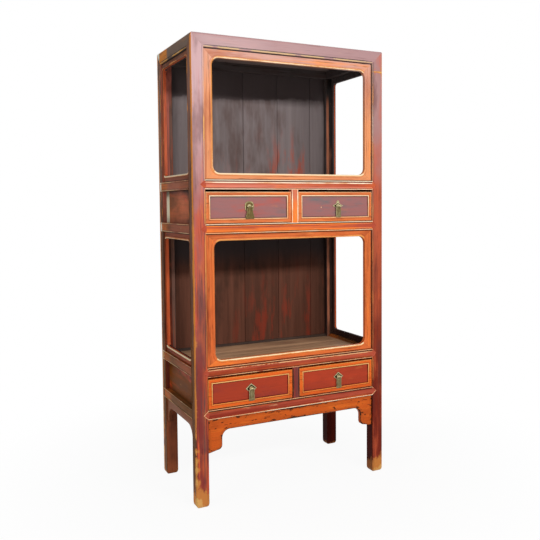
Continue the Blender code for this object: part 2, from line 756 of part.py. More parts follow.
def plate_outline(centre):
    """A lozenge with hollow sides."""
    tips = [(PLATE_HALF_W, 0), (0, PLATE_HALF_H), (-PLATE_HALF_W, 0), (0, -PLATE_HALF_H)]
    points = []
    for index, tip in enumerate(tips):
        following = tips[(index + 1) % len(tips)]
        towards = Vector((tip[0] + following[0], tip[1] + following[1])).normalized()
        for step in range(ARC_STEPS):
            share = step / ARC_STEPS
            straight = Vector(tip).lerp(Vector(following), share)
            hollow = straight - towards * PLATE_WAIST * math.sin(math.pi * share)
            points.append((centre[0] + hollow.x, centre[1] + hollow.y))
    return points


def make_pull_plate(name, pivot, front, slide):
    """A pull's back plate, with two lugs, the pin between them and a shank through the front."""
    depth = (PLATE_Y[0] + HALF_D, PLATE_Y[1] + HALF_D)
    plate = part(
        f"{name}_pull_plate",
        FRONT.board([plate_outline((pivot.x, pivot.z))], depth),
        "aged_brass",
        parent=slide,
    )
    lugs = bmesh.new()
    inner = BARREL_L / 2 + LUG_GAP
    for sign in SIGNS.values():
        x = sorted((pivot.x + sign * inner, pivot.x + sign * (inner + LUG_W)))
        low = (x[0], pivot.y - LUG_HALF, pivot.z - LUG_HALF)
        add_box(lugs, low, (x[1], PLATE_Y[0] + PLATE_T / 2, pivot.z + LUG_HALF))
    combine(plate, helper(f"lugs of {plate.name}", lugs), "UNION")
    pin = bmesh.new()
    add_rod(pin, pivot, PIN_R, 2 * inner + LUG_W)
    combine(plate, helper(f"pin of {plate.name}", pin), "UNION")

    start, stop = PLATE_Y[0] + PLATE_T / 2, DRAWER_FRONT_Y[1] + SHANK_OUT
    middle = Vector((pivot.x, (start + stop) / 2, pivot.z))
    shank = bmesh.new()
    add_rod(shank, middle, SHANK_R, stop - start, turn_axis="X")
    combine(plate, helper(f"shank of {plate.name}", shank), "UNION")
    hole = bmesh.new()
    add_rod(hole, middle, SHANK_R + FIT, stop - start + CUT_MARGIN, turn_axis="X")
    cut([front], helper(f"shank hole of {front.name}", hole))


def make_pull_drop(name, pivot, slide):
    """A pull's drop: a barrel that turns on the pin, and the tab that hangs from it."""
    barrel = bmesh.new()
    add_rod(barrel, pivot, BARREL_R, BARREL_L)
    drop = part(f"{name}_pull_drop", barrel, "aged_brass", origin=pivot, parent=slide)
    shoulder = pivot.z - TAB_SHOULDER
    foot = pivot.z - TAB_DROP
    neck = BARREL_L / 2 - LUG_GAP
    half = [
        (TAB_FOOT_W / 2 - TAB_CHAMFER, foot),
        (TAB_FOOT_W / 2, foot + TAB_CHAMFER),
        (TAB_TOP_W / 2, shoulder),
        (neck, shoulder),
        (neck, pivot.z),
    ]
    outline = [(pivot.x + x, z) for x, z in half] + [(pivot.x - x, z) for x, z in reversed(half)]
    middle = pivot.y + HALF_D
    tab = FRONT.board([outline], (middle - TAB_T / 2, middle + TAB_T / 2))
    combine(drop, helper(f"tab of {drop.name}", tab), "UNION")
    bore = bmesh.new()
    add_rod(bore, pivot, PIN_R + FIT, BARREL_L + CUT_MARGIN)
    cut([drop], helper(f"bore of {drop.name}", bore))


def make_drawer(row, side):
    """A drawer with its pull, all carried by an empty that slides along Y."""
    name = f"drawer_{row}_{side}"
    low, high = drawer_range(row, side)
    slide = bpy.data.objects.new(f"{name}_slide", None)
    slide.location = ((low.x + high.x) / 2, low.y, (low.z + high.z) / 2)
    bpy.data.collections["Scholar cabinet"].objects.link(slide)
    front = make_drawer_front(name, low, high, slide)
    make_drawer_box(name, row, low, high, slide)
    pivot = Vector((slide.location.x + PULL_SHIFT[side], PIVOT_Y, slide.location.z + PULL_RAISE))
    make_pull_plate(name, pivot, front, slide)
    make_pull_drop(name, pivot, slide)


def make_carcass():
    """The posts, rails, boards, frets and aprons, each let into what carries it."""
    posts = {(side, end): make_post(side, end) for side in SIGNS for end in ENDS}
    top_rails = {where: make_top_rail(where) for where in (*ENDS, *SIGNS)}
    for face in SHOWN_FACES:
        bead_top_rail(top_rails[face.name], face)

    rails = {}
    for face in SHOWN_FACES:
        if face is FRONT:
            hosts = [posts[side, "front"] for side in SIGNS]
        else:
            hosts = [posts[face.name, end] for end in ENDS]
        for level_name in RAIL_LEVELS:
            finish_name = "red_lacquer" if face is FRONT else "side_lacquer"
            rails[face.name, level_name], seat = make_rail(face, level_name, finish_name)
            cut(hosts, seat)

    rear_posts = [posts[side, "rear"] for side in SIGNS]
    rear_boards = {}
    for row in DRAWER_ROWS:
        rear_boards[row], seat = make_rear_board(row)
        cut(rear_posts, seat)

    for row in DRAWER_ROWS:
        around = [rear_boards[row]]
        drawer_rails = [rails[face.name, f"{row}_drawer"] for face in SHOWN_FACES]
        shelf_rails = [rails[face.name, f"{row}_shelf"] for face in SHOWN_FACES]
        below, above = DRAWER_ROWS[row]
        _, housing = make_shelf(f"shelf_{row}", above[1] - SHELF_DROP, "shelf_board")
        cut(around + shelf_rails, housing)
        dust_board, housing = make_shelf(f"dust_board_{row}", below[1], "drawer_wood")
        cut(around + drawer_rails, housing)
        add_drawer_guides(dust_board, row)
        _, seat = make_stile(row)
        cut([rails["front", f"{row}_drawer"], rails["front", f"{row}_shelf"]], seat)
        for face in (LEFT, RIGHT):
            _, groove = make_side_panel(face, row)
            cut([posts[face.name, end] for end in ENDS], groove)
            cut([rails[face.name, f"{row}_drawer"], rails[face.name, f"{row}_shelf"]], groove)

    _, groove = make_back_panel("upper")
    cut([*rear_posts, rear_boards["upper"], top_rails["rear"]], groove)
    _, groove = make_back_panel("lower")
    cut([*rear_posts, rear_boards["lower"], rear_boards["upper"]], groove)
    _, groove = make_top_panel()
    cut(list(top_rails.values()), groove)

    for face in SHOWN_FACES:
        for bay in BAYS:
            make_fret(face, bay)
        make_apron(face)


def main():
    """Builds the cabinet."""
    clear_scene()
    make_carcass()
    for row in DRAWER_ROWS:
        for side in SIGNS:
            make_drawer(row, side)


main()
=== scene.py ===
"""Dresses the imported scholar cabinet: worn lacquer, beaded edges, plank backs and brass drop pulls."""

import sys

import logging
import math
import random
from collections.abc import Sequence
from dataclasses import dataclass, field, replace
from enum import Enum, IntEnum

import bmesh
import bpy
from mathutils import Matrix, Vector

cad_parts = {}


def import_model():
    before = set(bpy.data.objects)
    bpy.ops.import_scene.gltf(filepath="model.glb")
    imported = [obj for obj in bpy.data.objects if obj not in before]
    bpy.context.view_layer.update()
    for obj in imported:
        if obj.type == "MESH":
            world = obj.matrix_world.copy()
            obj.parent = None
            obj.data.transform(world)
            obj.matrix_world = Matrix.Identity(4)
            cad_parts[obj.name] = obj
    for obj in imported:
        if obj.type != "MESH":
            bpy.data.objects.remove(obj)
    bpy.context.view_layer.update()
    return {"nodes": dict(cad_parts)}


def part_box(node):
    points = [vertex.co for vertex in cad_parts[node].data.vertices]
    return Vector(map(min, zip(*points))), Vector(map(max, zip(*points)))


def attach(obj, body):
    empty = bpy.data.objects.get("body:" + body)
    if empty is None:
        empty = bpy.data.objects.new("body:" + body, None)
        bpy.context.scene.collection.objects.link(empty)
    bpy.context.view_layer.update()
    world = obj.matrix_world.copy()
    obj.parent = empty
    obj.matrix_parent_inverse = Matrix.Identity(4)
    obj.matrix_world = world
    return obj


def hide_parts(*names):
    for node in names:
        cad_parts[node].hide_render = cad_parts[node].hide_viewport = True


LOG = logging.getLogger("scholar_cabinet")

RGB = tuple[int, int, int]
Pair = tuple[float, float]
Outline = list[Pair]
Ring = list[bmesh.types.BMVert]
Level = float | Sequence[float]
Socket = bpy.types.NodeSocket
Value = float | Sequence[float] | Socket
Stud = tuple[float, float, int, float]

SMOOTH_ANGLE = math.radians(32)
BEAD_RING_GAP = 0.045
BEAD_STEPS = 6
BEAD_SINK = 0.0008
BEAD_END_SIZE = 0.4
BEAD_FLANK_WEAR = 0.45
ROD_EASE_OF_RADIUS = 0.4
ROD_EASE_OF_LENGTH = 0.2
JOINT_SHADE = 0.0009
JOINT_GRIME = 0.1
CORNER_EASE = 0.0045
CUT_TOLERANCE = 1e-6
LEAST_NORMAL = 1e-9
# Where the middle of a rounded arris lies, as a share of its radius
ARRIS_MIDDLE = 1 - math.sqrt(0.5)
ROWS = ("upper", "lower")


# Shared sizes


@dataclass(frozen=True)
class CabinetSizes:
    """The sizes that several of the cabinet's pieces share, in metres."""

    half_w: float = 0.425
    half_d: float = 0.215
    height: float = 1.800
    post_w: float = 0.050
    post_d: float = 0.046
    rail_t: float = 0.038
    top_rail_h: float = 0.052


CABINET = CabinetSizes()


class Grain(Enum):
    """The axis that a piece's wood grain follows."""

    X, Y, Z = range(3)


class Side(Enum):
    """The cabinet's four upright sides."""

    FRONT = "front"
    REAR = "rear"
    LEFT = "left"
    RIGHT = "right"

    @property
    def broad(self) -> bool:
        """Whether this is the front or the rear, which run along X."""
        return self in (Side.FRONT, Side.REAR)

    @property
    def sign(self) -> int:
        """Where this side lies on its axis: -1 for the front and the left."""
        return -1 if self in (Side.FRONT, Side.LEFT) else 1

    @property
    def out(self) -> Vector:
        """The direction that this side faces."""
        return Vector((0, self.sign, 0)) if self.broad else Vector((self.sign, 0, 0))

    @property
    def run(self) -> Vector:
        """The level direction along this side."""
        return Vector((1, 0, 0)) if self.broad else Vector((0, 1, 0))

    @property
    def reach(self) -> float:
        """Half the length of this side."""
        return CABINET.half_w if self.broad else CABINET.half_d

    @property
    def clear(self) -> float:
        """Half the clear length between this side's posts."""
        return self.reach - (CABINET.post_w if self.broad else CABINET.post_d)

    @property
    def grain(self) -> Grain:
        """The grain of a level piece on this side."""
        return Grain.X if self.broad else Grain.Y

    def point(self, along: float, depth: float, z: float) -> Vector:
        """Finds a point by its place along this side, its depth behind the outer face and its height."""
        offset = CABINET.half_d if self.broad else CABINET.half_w
        return self.run * along + self.out * (offset - depth) + Vector((0, 0, z))


# Outlines


def rectangle(low: Pair, high: Pair) -> Outline:
    """Returns a rectangle's corners, anticlockwise from the lowest."""
    return [low, (high[0], low[1]), high, (low[0], high[1])]


def circle(count: int) -> Outline:
    """Returns points spaced evenly round a circle of radius 1, anticlockwise."""
    angles = [2 * math.pi * index / count for index in range(count)]
    return [(math.cos(angle), math.sin(angle)) for angle in angles]


def arc(centre: Pair, radius: float, start: float, end: float, steps: int) -> Outline:
    """Lays points on an arc of equal parts, both ends among them, from start to end in degrees."""
    angles = [math.radians(start + (end - start) * step / steps) for step in range(steps + 1)]
    return [(centre[0] + radius * math.cos(a), centre[1] + radius * math.sin(a)) for a in angles]


def inset_outline(outline: Sequence[Pair], distance: float) -> Outline:
    """Moves an anticlockwise outline inwards.

    Args:
        outline: The corners.
        distance: How far each edge moves inwards.

    Returns:
        The new corners, one for each old one.
    """
    moved = []
    for index, corner in enumerate(outline):
        here = Vector(corner)
        before = (here - Vector(outline[index - 1])).normalized()
        after = (Vector(outline[(index + 1) % len(outline)]) - here).normalized()
        normal = Vector((-before.y - after.y, before.x + after.x))
        share = 2 * distance / max(normal.length_squared, LEAST_NORMAL)
        moved.append(tuple(here + normal * share))
    return moved


# Carving


@dataclass(frozen=True)
class Step:
    """One ring of a moulded profile: how far in and how deep it lies, and how worn and grimy it is."""

    inset: float
    depth: float
    wear: float = 0.0
    grime: float = 0.0


@dataclass(frozen=True)
class Corner:
    """How much of a profile's wear and grime a corner of its outline has, and how warm it is."""

    wear: float = 1.0
    grime: float = 1.0
    warmth: float = 0.0


@dataclass(frozen=True)
class Mark:
    """One point of a long piece's cross-section: where it lies, and how worn, grimy and warm it is."""

    across: float
    depth: float
    wear: float = 0.0
    grime: float = 0.0
    warmth: float = 0.0


@dataclass(frozen=True)
class Station:
    """One ring along a long piece: where it lies, how worn its edges are, and what it adds all round."""

    along: float
    edges: float = 1.0
    wear: float = 0.0
    grime: float = 0.0
    warmth: float = 0.0


class Carving:
    """A mesh under construction, with the wear, grime and warmth of each point; the grime also carries
    painted shade.
    """

    def __init__(self) -> None:
        """Starts with no points."""
        self.shape = bmesh.new()
        layers = self.shape.verts.layers.float
        self.wear = layers.new("wear")
        self.grime = layers.new("grime")
        self.warmth = layers.new("warmth")

    def ring(
        self, places: Sequence[Vector], wear: Level = 0.0, grime: Level = 0.0, warmth: Level = 0.0
    ) -> Ring:
        """Adds a ring of points.

        Args:
            places: Where they lie.
            wear: The wear of all of them, or of each.
            grime: The grime of all of them, or of each, which in some places is painted shade.
            warmth: The warmth of all of them, or of each.

        Returns:
            The new points.
        """
        levels = ((self.wear, wear), (self.grime, grime), (self.warmth, warmth))
        points = []
        for index, place in enumerate(places):
            point = self.shape.verts.new(place)
            for layer, level in levels:
                point[layer] = level if isinstance(level, (int, float)) else level[index]
            points.append(point)
        return points

    def profile_ring(self, places: Sequence[Vector], marks: Sequence[Mark], station: Station) -> Ring:
        """Adds a ring of a cross-section at a station, and returns its points."""
        return self.ring(
            places,
            [mark.wear * station.edges + station.wear for mark in marks],
            [mark.grime + station.grime for mark in marks],
            [mark.warmth + station.warmth for mark in marks],
        )

    def skin(self, first: Ring, second: Ring, finish: int | Sequence[int] = 0) -> None:
        """Joins two closed rings of equal count with a band of faces.

        Args:
            first: One ring.
            second: The other ring.
            finish: The material's place in the list, for all the faces or for each.
        """
        for index in range(len(first)):
            after = (index + 1) % len(first)
            face = self.shape.faces.new((first[index], first[after], second[after], second[index]))
            face.material_index = finish if isinstance(finish, int) else finish[index]

    def loft(
        self, rings: Sequence[Ring], bands: Sequence[int | Sequence[int]] = (), ends: tuple[int, int] = (0, 0)
    ) -> None:
        """Joins the rings in order and closes both ends.

        Args:
            rings: The rings, of equal count.
            bands: The material from each ring to the next, for all the faces or for each.
            ends: The materials of the two faces that close it.
        """
        self.shape.faces.new(rings[0]).material_index = ends[0]
        for first, second, band in zip(rings, rings[1:], bands or [0] * len(rings)):
            self.skin(first, second, band)
        self.shape.faces.new(rings[-1]).material_index = ends[1]

    def swept(
        self, side: Side, stations: Sequence[Station], marks: Sequence[Mark], columns: Sequence[int] = ()
    ) -> None:
        """Draws a cross-section along a side and closes its ends.

        Args:
            side: The side that the piece runs along.
            stations: The rings, in order.
            marks: The cross-section, as height and depth behind the side's face.
            columns: The material of each column of faces.
        """
        columns = columns or [0] * len(marks)
        rings = []
        for station in stations:
            places = [side.point(station.along, mark.depth, mark.across) for mark in marks]
            rings.append(self.profile_ring(places, marks, station))
        self.loft(rings, [columns] * len(rings), (columns[0], columns[0]))

    def moulded(
        self, side: Side, outline: Outline, steps: Sequence[Step], finishes: Sequence[int] = (),
        corners: Sequence[Corner] = (),
    ) -> None:
        """Makes a board whose edge follows a profile.

        Args:
            side: The side that the board faces.
            outline: Its outline, anticlockwise, as (along, z).
            steps: The profile's rings, from the back to the face.
            finishes: The material from each ring to the next, and last that of the face.
            corners: How each corner of the outline differs from the profile.
        """
        finishes = finishes or [0] * len(steps)
        corners = corners or [Corner()] * len(outline)
        rings = []
        for step in steps:
            line = inset_outline(outline, step.inset) if step.inset else outline
            places = [side.point(x, step.depth, z) for x, z in line]
            wear = [step.wear * corner.wear for corner in corners]
            grime = [step.grime * corner.grime for corner in corners]
            rings.append(self.ring(places, wear, grime, [corner.warmth for corner in corners]))
        self.loft(rings, finishes, (finishes[0], finishes[-1]))

    def bead(
        self, side: Side, ends: tuple[Pair, Pair], size: Pair, chance: random.Random, wear: Pair,
        grime: float = 0.0, depth: float = 0.0, finish: int = 0,
    ) -> None:
        """Lays a half-round bead on a side.

        Args:
            side: The side.
            ends: The two ends of its middle line, as (along, z).
            size: Its width and its height.
            chance: Where its uneven wear comes from.
            wear: The least and the most wear along its crest.
            grime: The grime of its crest.
            depth: How far behind the side's face it lies.
            finish: Its material's place in the list.
        """
        start, end = (side.point(along, depth, z) for along, z in ends)
        width, rise = size
        run, out = end - start, side.out
        count = max(2, round(run.length / BEAD_RING_GAP))
        across = out.cross(run).normalized()
        rings = []
        for index in range(count + 1):
            centre = start + run * index / count
            share = BEAD_END_SIZE if index in (0, count) else 1.0
            level = chance.uniform(*wear)
            places, wears = [], []
            for step in range(BEAD_STEPS + 1):
                angle = math.pi * step / BEAD_STEPS
                reach = across * math.cos(angle) * width / 2 + out * math.sin(angle) * rise
                places.append(centre + reach * share)
                wears.append(level * (BEAD_FLANK_WEAR + (1 - BEAD_FLANK_WEAR) * math.sin(angle)))
            for sign in (-1, 1):
                places.append(centre + across * sign * share * width / 2 - out * BEAD_SINK)
                wears.append(0.0)
            rings.append(self.ring(places, wears, grime))
        self.loft(rings, [finish] * count, (finish, finish))

    def rod(self, start: Vector, end: Vector, radius: float, sides: int, wear: float) -> None:
        """Makes a round rod with eased ends.

        Args:
            start: One end of its middle line.
            end: The other end.
            radius: Its radius.
            sides: How many sides it has.
            wear: How worn it is.
        """
        run = end - start
        turn = run.to_track_quat("Z", "Y")
        ease = min(radius * ROD_EASE_OF_RADIUS, run.length * ROD_EASE_OF_LENGTH)
        top, neck = run.length, radius - ease
        profile = ((0.0, neck), (ease, radius), (top - ease, radius), (top, neck))
        rings = []
        for height, reach in profile:
            places = [start + turn @ Vector((reach * x, reach * y, height)) for x, y in circle(sides)]
            rings.append(self.ring(places, wear))
        self.loft(rings)

    def stud(self, centre: Vector, radius: float, form: Stud) -> None:
        """Sets a round stud on the front; its form is its reach in and out, its sides and its wear."""
        inward, outward, sides, wear = form
        self.rod(centre - Side.FRONT.out * inward, centre + Side.FRONT.out * outward, radius, sides, wear)

    def mitre(self, point: Vector, normal: Vector) -> None:
        """Cuts away what lies on the normal's side of a plane, and darkens the new edge.

        Args:
            point: A point on the plane.
            normal: The direction that is cut away.
        """
        edges: list[bmesh.types.BMEdge] = []
        for offset in (JOINT_SHADE, 0.0):
            cut = bmesh.ops.bisect_plane(
                self.shape,
                geom=[*self.shape.verts, *self.shape.edges, *self.shape.faces],
                dist=CUT_TOLERANCE,
                plane_co=point - normal * offset,
                plane_no=normal,
                clear_outer=offset == 0.0,
            )
            edges = [item for item in cut["geom_cut"] if isinstance(item, bmesh.types.BMEdge)]
        bmesh.ops.holes_fill(self.shape, edges=edges, sides=0)
        for corner in {corner for edge in edges for corner in edge.verts}:
            corner[self.grime] = JOINT_GRIME

    def finished(self, name: str, materials: Sequence[bpy.types.Material]) -> bpy.types.Object:
        """Turns the carving into an object of the scene.

        Args:
            name: The object's name.
            materials: Its materials, in the order that the faces name them.

        Returns:
            The new object.
        """
        bmesh.ops.recalc_face_normals(self.shape, faces=self.shape.faces[:])
        mesh = bpy.data.meshes.new(name)
        self.shape.to_mesh(mesh)
        self.shape.free()
        for material in materials:
            mesh.materials.append(material)
        mesh.polygons.foreach_set("use_smooth", [True] * len(mesh.polygons))
        mesh.set_sharp_from_angle(angle=SMOOTH_ANGLE)
        return link(bpy.data.objects.new(name, mesh))


def link(thing: bpy.types.Object) -> bpy.types.Object:
    """Puts an object into the scene and returns it."""
    bpy.context.scene.collection.objects.link(thing)
    return thing


def install(piece: bpy.types.Object, node: str, body: str = "carcass") -> None:
    """Lets a finished piece stand for a CAD node.

    Args:
        piece: The piece.
        node: The node that it replaces.
        body: The body that it rides on.
    """
    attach(piece, body)
    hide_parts(node)
    LOG.info("%s stands for %s on %s", piece.name, node, body)


# Node trees


def paint(colour: RGB) -> tuple[float, float, float, float]:
    """Returns a screen colour as the linear colour that a shader takes."""
    levels = [level / 255 for level in colour]
    linear = [level / 12.92 if level <= 0.04045 else ((level + 0.055) / 1.055) ** 2.4 for level in levels]
    return (*linear, 1.0)


class NodeKit:
    """Short calls that lay out the nodes of a tree."""

    def __init__(self, tree: bpy.types.NodeTree) -> None:
        """Starts on a tree."""
        self.tree = tree

    def node(self, kind: str, inputs: dict[str | int, object], **settings: object) -> bpy.types.Node:
        """Adds a node.

        Args:
            kind: Its type.
            inputs: A value or a linked socket for each input.
            settings: Its own settings.

        Returns:
            The new node.
        """
        node = self.tree.nodes.new(kind)
        for key, setting in settings.items():
            setattr(node, key, setting)
        for key, value in inputs.items():
            self.feed(node.inputs[key], value)
        return node

    def first(self, kind: str, inputs: dict[str | int, object], **settings: object) -> Socket:
        """Adds a node and returns its first output."""
        return self.node(kind, inputs, **settings).outputs[0]

    def feed(self, socket: Socket, value: object) -> None:
        """Links a socket to another, or sets its own value."""
        if isinstance(value, Socket):
            self.tree.links.new(value, socket)
        else:
            socket.default_value = value

    def math(self, operation: str, *values: Value) -> Socket:
        """Returns what an operation makes of some values."""
        return self.first("ShaderNodeMath", dict(enumerate(values)), operation=operation)

    def vector(self, **parts: Value) -> Socket:
        """Returns a vector with the named parts."""
        return self.first("ShaderNodeCombineXYZ", parts)

    def seen(self) -> Socket:
        """Returns 1 for rays that show the background: from the camera, off gloss or through glass."""
        rays = self.node("ShaderNodeLightPath", {}).outputs
        share = self.math("MAXIMUM", rays["Is Camera Ray"], rays["Is Glossy Ray"])
        return self.math("MAXIMUM", share, rays["Is Transmission Ray"])


class Graph(NodeKit):
    """Short calls that lay out a material's nodes."""

    def __init__(self, name: str) -> None:
        """Starts a material with its plain shader."""
        self.material = bpy.data.materials.new(name)
        self.material.use_nodes = True
        super().__init__(self.material.node_tree)
        self.shader = self.tree.nodes["Principled BSDF"]
        self.place = self.node("ShaderNodeTexCoord", {}).outputs["Object"]

    def shade(self, **inputs: Value) -> bpy.types.Material:
        """Sets the shader's inputs, named with _ for a space, and returns the material."""
        for key, value in inputs.items():
            self.feed(self.shader.inputs[key.replace("_", " ")], value)
        return self.material

    def noise(self, vector: Socket, scale: float, detail: float = 3.0, roughness: float = 0.55) -> Socket:
        """Adds a noise texture and returns its value, about 0.5 in the middle."""
        inputs = {"Vector": vector, "Scale": scale, "Detail": detail, "Roughness": roughness}
        return self.first("ShaderNodeTexNoise", inputs)

    def grained(
        self, grain: Grain, along: float, across: float, detail: float = 3.0, roughness: float = 0.55
    ) -> Socket:
        """Adds a noise that is drawn out along the grain.

        Args:
            grain: The grain.
            along: The noise's scale along it.
            across: The noise's scale across it.
            detail: Its octaves.
            roughness: How strong the finer octaves are.

        Returns:
            Its value, about 0.5 in the middle.
        """
        scale = tuple(along if axis is grain else across for axis in Grain)
        drawn = self.first("ShaderNodeMapping", {"Vector": self.place, "Scale": scale})
        return self.noise(drawn, 1.0, detail, roughness)

    def spread(self, value: Socket, span: Pair, start: float = 0.0, end: float = 1.0) -> Socket:
        """Maps a span smoothly onto the range from start to end, which holds beyond it."""
        inputs = dict(enumerate((value, *span, start, end)))
        return self.first("ShaderNodeMapRange", inputs, interpolation_type="SMOOTHSTEP")

    def sum(self, value: Socket, factor: float, other: Value) -> Socket:
        """Returns value times factor, plus other."""
        return self.math("MULTIPLY_ADD", value, factor, other)

    def coat(self, tone: RGB | Socket, colour: RGB, share: Value) -> Socket:
        """Lays a colour over a tone.

        Args:
            tone: What lies under it.
            colour: The colour.
            share: How much of the colour shows.

        Returns:
            The mixed colour.
        """
        under = paint(tone) if isinstance(tone, tuple) else tone
        inputs = {0: share, 6: under, 7: paint(colour)}
        return self.node("ShaderNodeMix", inputs, data_type="RGBA").outputs[2]

    def attribute(self, name: str) -> Socket:
        """Returns a value that is kept on the mesh's points."""
        return self.node("ShaderNodeAttribute", {}, attribute_name=name).outputs["Fac"]

    def axis(self, name: str) -> Socket:
        """Returns one of a point's coordinates, by its letter."""
        return self.node("ShaderNodeSeparateXYZ", {"Vector": self.place}).outputs[name]

    def bump(self, height: Socket, strength: float, distance: float) -> Socket:
        """Turns a height into a bumped normal."""
        return self.first("ShaderNodeBump", {"Height": height, "Strength": strength, "Distance": distance})


# Finishes


@dataclass(frozen=True)
class Lacquer:
    """Old lacquer: its colour from the lower rails to the top, and what wear and grime uncover.

    Its colour's change with height is partly painted light: a paler sheen towards the top and shade lower
    down. A finish with no mid or high colour has its low colour at every height.
    """

    # The range over which each noise or level comes to show
    WARM, CALMING = (0.40, 1.20), (0.9, 1.5)
    DARK_BLOTCH, BRIGHT_BLOTCH = (0.50, 0.68), (0.32, 0.48)
    DARK_STREAK, BRIGHT_STREAK = (0.53, 0.66), (0.34, 0.46)
    SCUFF, SCRATCH, PIT, FLECK = (0.62, 0.72), (0.60, 0.68), (0.62, 0.67), (0.63, 0.76)
    WORN, BARE, SOILED = (1.20, 1.36), (1.63, 1.83), (0.55, 1.20)
    GLOSS = (0.25, 0.75)
    MOST_SOIL, MOST_FLECK = 0.92, 0.45
    # How far the patches shift the heights at which the colour changes
    PATCHED = 0.5

    name: str
    low: RGB
    mid: RGB | None = None
    high: RGB | None = None
    dark: RGB = (92, 46, 42)
    bright: RGB = (206, 88, 46)
    warm: RGB = (206, 96, 44)
    worn: RGB = (224, 138, 72)
    bare: RGB = (238, 208, 164)
    dirt: RGB = (34, 20, 17)
    levels: tuple[float, float, float] = (0.35, 0.95, 1.60)
    blotches: float = 0.55
    streaks: float = 0.40
    scuffs: float = 0.35
    scratches: float = 0.5
    calm: float = 1.0
    rub: float = 0.0
    pits: float = 0.0
    roughness: Pair = (0.30, 0.50)
    specular: float = 0.4

    def material(self, grain: Grain) -> bpy.types.Material:
        """Makes the lacquer's material.

        Args:
            grain: The grain of the wood under it.

        Returns:
            The material.
        """
        graph = Graph(f"{self.name}_{grain.name.lower()}")
        spread, coat = graph.spread, graph.coat
        streak = graph.grained(grain, 3.0, 80.0, 5.0, 0.62)
        blotch = graph.grained(grain, 3.5, 11.0, 4.0, 0.6)
        scuff = graph.grained(grain, 9.0, 40.0, 5.0, 0.65)
        scratch = graph.grained(grain, 7.0, 190.0, 3.0, 0.6)
        pit = graph.grained(grain, 34.0, 95.0, 3.0, 0.6)
        fine = graph.grained(grain, 16.0, 420.0, 2.0)
        patch = graph.noise(graph.place, 6.0, 4.0, 0.6)
        fleck = graph.noise(graph.place, 130.0, 4.0, 0.7)
        height, wear = graph.axis("Z"), graph.attribute("wear")

        # The colour by height: partly the lacquer's own tone, partly painted sheen towards the top and
        # painted shade lower down
        level = graph.sum(patch, self.PATCHED, height)
        low, mid, high = (rise + self.PATCHED / 2 for rise in self.levels)
        tone = coat(self.low, self.mid or self.low, spread(level, (low, mid)))
        tone = coat(tone, self.high or self.low, spread(level, (mid, high)))
        warmed = graph.sum(patch, 0.6, graph.attribute("warmth"))
        tone = coat(tone, self.warm, spread(warmed, self.WARM))
        tone = coat(tone, self.dark, spread(blotch, self.DARK_BLOTCH, 0.0, self.blotches))
        tone = coat(tone, self.bright, spread(blotch, self.BRIGHT_BLOTCH, self.blotches, 0.0))
        aged = spread(height, self.CALMING, 1.0, self.calm)
        dark_streak = spread(streak, self.DARK_STREAK, 0.0, self.streaks)
        tone = coat(tone, self.dark, graph.math("MULTIPLY", dark_streak, aged))
        bright_streak = spread(streak, self.BRIGHT_STREAK, self.streaks, 0.0)
        tone = coat(tone, self.bright, graph.math("MULTIPLY", bright_streak, aged))
        tone = coat(tone, self.worn, spread(scuff, self.SCUFF, 0.0, self.scuffs))
        scratched = spread(scratch, self.SCRATCH, 0.0, self.scratches)
        tone = coat(tone, self.dirt, graph.math("MULTIPLY", scratched, aged))

        rubbed = graph.sum(scuff, 0.9, graph.sum(fleck, 0.35, wear))
        rubbed = graph.sum(patch, 0.5, rubbed)
        for colour, span in ((self.worn, self.WORN), (self.bare, self.BARE)):
            tone = coat(tone, colour, spread(rubbed, (span[0] - self.rub, span[1] - self.rub)))
        # The grime darkens to the dirt colour: real dirt at joints and grooves, painted shade in the frets'
        # gaps and reveals
        soiled = graph.sum(scuff, 0.6, graph.attribute("grime"))
        tone = coat(tone, self.dirt, spread(soiled, self.SOILED, 0.0, self.MOST_SOIL))
        tone = coat(tone, self.dark, spread(fleck, self.FLECK, 0.0, self.MOST_FLECK))
        tone = coat(tone, self.dirt, spread(graph.sum(wear, 0.12, pit), self.PIT, 0.0, self.pits))

        relief = graph.sum(fine, 0.4, graph.sum(fleck, 0.35, streak))
        return graph.shade(
            Base_Color=tone,
            Roughness=spread(blotch, self.GLOSS, *self.roughness),
            Specular_IOR_Level=self.specular,
            Normal=graph.bump(relief, 0.25, 0.0008),
        )


